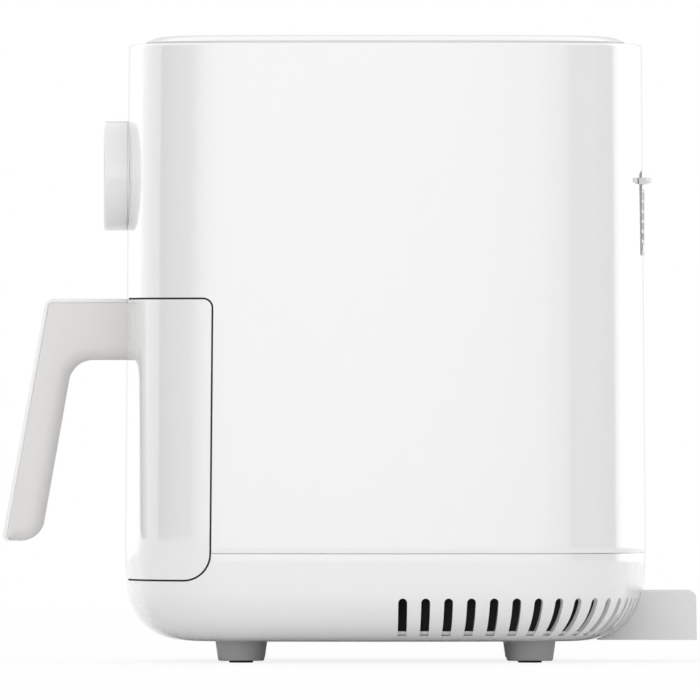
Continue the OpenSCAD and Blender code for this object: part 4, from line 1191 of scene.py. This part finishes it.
studio = {
    "lens": 1500.0,
    "sensor": 36.0,
    "width": 341.2 * mm,
    "aim": (0.0, 0.23 * mm, 151.6 * mm),
    "clip": (0.1, 60.0),
    "floor": 3.0,
    "floorTone": (0.86, 0.86, 0.86, 1),
    "floorRough": 0.6,
    "floorGlow": 0.86,
    "skyFrom": 0.25,
    "skyTo": 0.7,
    "skyLevel": 1.12,
    "brightest": 2.0,
    # angle from the camera's side towards the rear (+) or the front (-), and the light's level there
    "bands": [
        (-180, 0.72), (-174, 0.9), (-166, 1.2), (-150, 1.2), (-135, 1.1), (-114.5, 0.8), (-112.5, 0.1),
        (-76, 0.1), (-70, 0.7), (-58, 1.45), (-45, 1.57), (0, 1.52), (18, 1.4), (22, 1.25), (36, 1.3),
        (48, 1.08), (62, 0.9), (66, 0.3), (90, 0.58), (104, 0.5), (117, 0.6), (121, 1.6), (133, 1.95),
        (150, 1.55), (166, 1.2), (174, 0.9), (180, 0.72)],
}


def makeCamera():
    # looks along -X, from far enough that the picture is as wide as the studio says
    camData = bpy.data.cameras.new("camera")
    camera = bpy.data.objects.new("camera", camData)
    bpy.context.scene.collection.objects.link(camera)
    camData.lens = studio["lens"]
    camData.sensor_width = studio["sensor"]
    distance = studio["lens"] * studio["width"] / studio["sensor"]
    camera.location = Vector(studio["aim"]) + Vector((distance, 0, 0))
    camera.rotation_mode = "QUATERNION"
    camera.rotation_quaternion = Vector((-1, 0, 0)).to_track_quat("-Z", "Y")
    camData.clip_start, camData.clip_end = studio["clip"]
    bpy.context.scene.camera = camera


def makeFloor():
    selectOnly(None)
    bpy.ops.mesh.primitive_circle_add(vertices=96, radius=studio["floor"], fill_type="NGON")
    floor = bpy.context.object
    floor.name = "floor"
    pale = bpy.data.materials.new("paleFloor")
    pale.use_nodes = True
    add, link = pale.node_tree.nodes.new, pale.node_tree.links.new
    shader = pale.node_tree.nodes["Principled BSDF"]
    shader.inputs["Base Color"].default_value = studio["floorTone"]
    shader.inputs["Roughness"].default_value = studio["floorRough"]
    # the camera sees the floor lifted towards white, so only a faint shadow is left
    glow = add("ShaderNodeEmission")
    blend = add("ShaderNodeMixShader")
    rays = add("ShaderNodeLightPath")
    share = add("ShaderNodeMath")
    share.operation = "MULTIPLY"
    share.inputs[1].default_value = studio["floorGlow"]
    link(rays.outputs["Is Camera Ray"], share.inputs[0])
    link(share.outputs[0], blend.inputs["Fac"])
    link(shader.outputs[0], blend.inputs[1])
    link(glow.outputs[0], blend.inputs[2])
    link(blend.outputs[0], pale.node_tree.nodes["Material Output"].inputs["Surface"])
    floor.data.materials.append(pale)


def makeBands(tree, direction):
    # light levels by azimuth, counted from the camera's side of the object
    add, link = tree.nodes.new, tree.links.new
    azimuth = add("ShaderNodeMath")
    azimuth.operation = "ARCTAN2"
    link(direction.outputs["Y"], azimuth.inputs[0])
    link(direction.outputs["X"], azimuth.inputs[1])
    turn = add("ShaderNodeMapRange")
    turn.inputs["From Min"].default_value = -math.pi
    turn.inputs["From Max"].default_value = math.pi
    link(azimuth.outputs[0], turn.inputs["Value"])
    ramp = add("ShaderNodeValToRGB")
    link(turn.outputs["Result"], ramp.inputs["Fac"])
    stops = ramp.color_ramp.elements
    while len(stops) < len(studio["bands"]):
        stops.new(0.5)
    for stop, (angle, level) in zip(stops, studio["bands"]):
        stop.position = (angle + 180) / 360
        stop.color = (*[level / studio["brightest"]] * 3, 1)
    return ramp.outputs["Color"]


def makeSurround():
    world = bpy.data.worlds.new("studio")
    bpy.context.scene.world = world
    world.use_nodes = True
    tree = world.node_tree
    tree.nodes.clear()
    add, link = tree.nodes.new, tree.links.new
    out = add("ShaderNodeOutputWorld")
    mix = add("ShaderNodeMixShader")
    seen = add("ShaderNodeBackground")
    light = add("ShaderNodeBackground")
    path = add("ShaderNodeLightPath")
    seen.inputs["Strength"].default_value = 1.0
    seen.inputs["Color"].default_value = (1, 1, 1, 1)
    link(path.outputs["Is Camera Ray"], mix.inputs["Fac"])
    link(light.outputs[0], mix.inputs[1])
    link(seen.outputs[0], mix.inputs[2])
    link(mix.outputs[0], out.inputs["Surface"])
    coord = add("ShaderNodeTexCoord")
    direction = add("ShaderNodeSeparateXYZ")
    link(coord.outputs["Generated"], direction.inputs[0])
    # the bands fade into an even sky above them
    height = add("ShaderNodeMapRange")
    height.interpolation_type = "SMOOTHSTEP"
    height.inputs["From Min"].default_value = studio["skyFrom"]
    height.inputs["From Max"].default_value = studio["skyTo"]
    link(direction.outputs["Z"], height.inputs["Value"])
    sky = add("ShaderNodeMix")
    sky.data_type = "RGBA"
    sky.inputs["B"].default_value = (*[studio["skyLevel"] / studio["brightest"]] * 3, 1)
    link(height.outputs["Result"], sky.inputs["Factor"])
    link(makeBands(tree, direction), sky.inputs["A"])
    link(sky.outputs["Result"], light.inputs["Color"])
    light.inputs["Strength"].default_value = studio["brightest"]
    bpy.context.scene.view_settings.view_transform = "Standard"


makeCamera()
makeFloor()
makeSurround()
print("studio set")
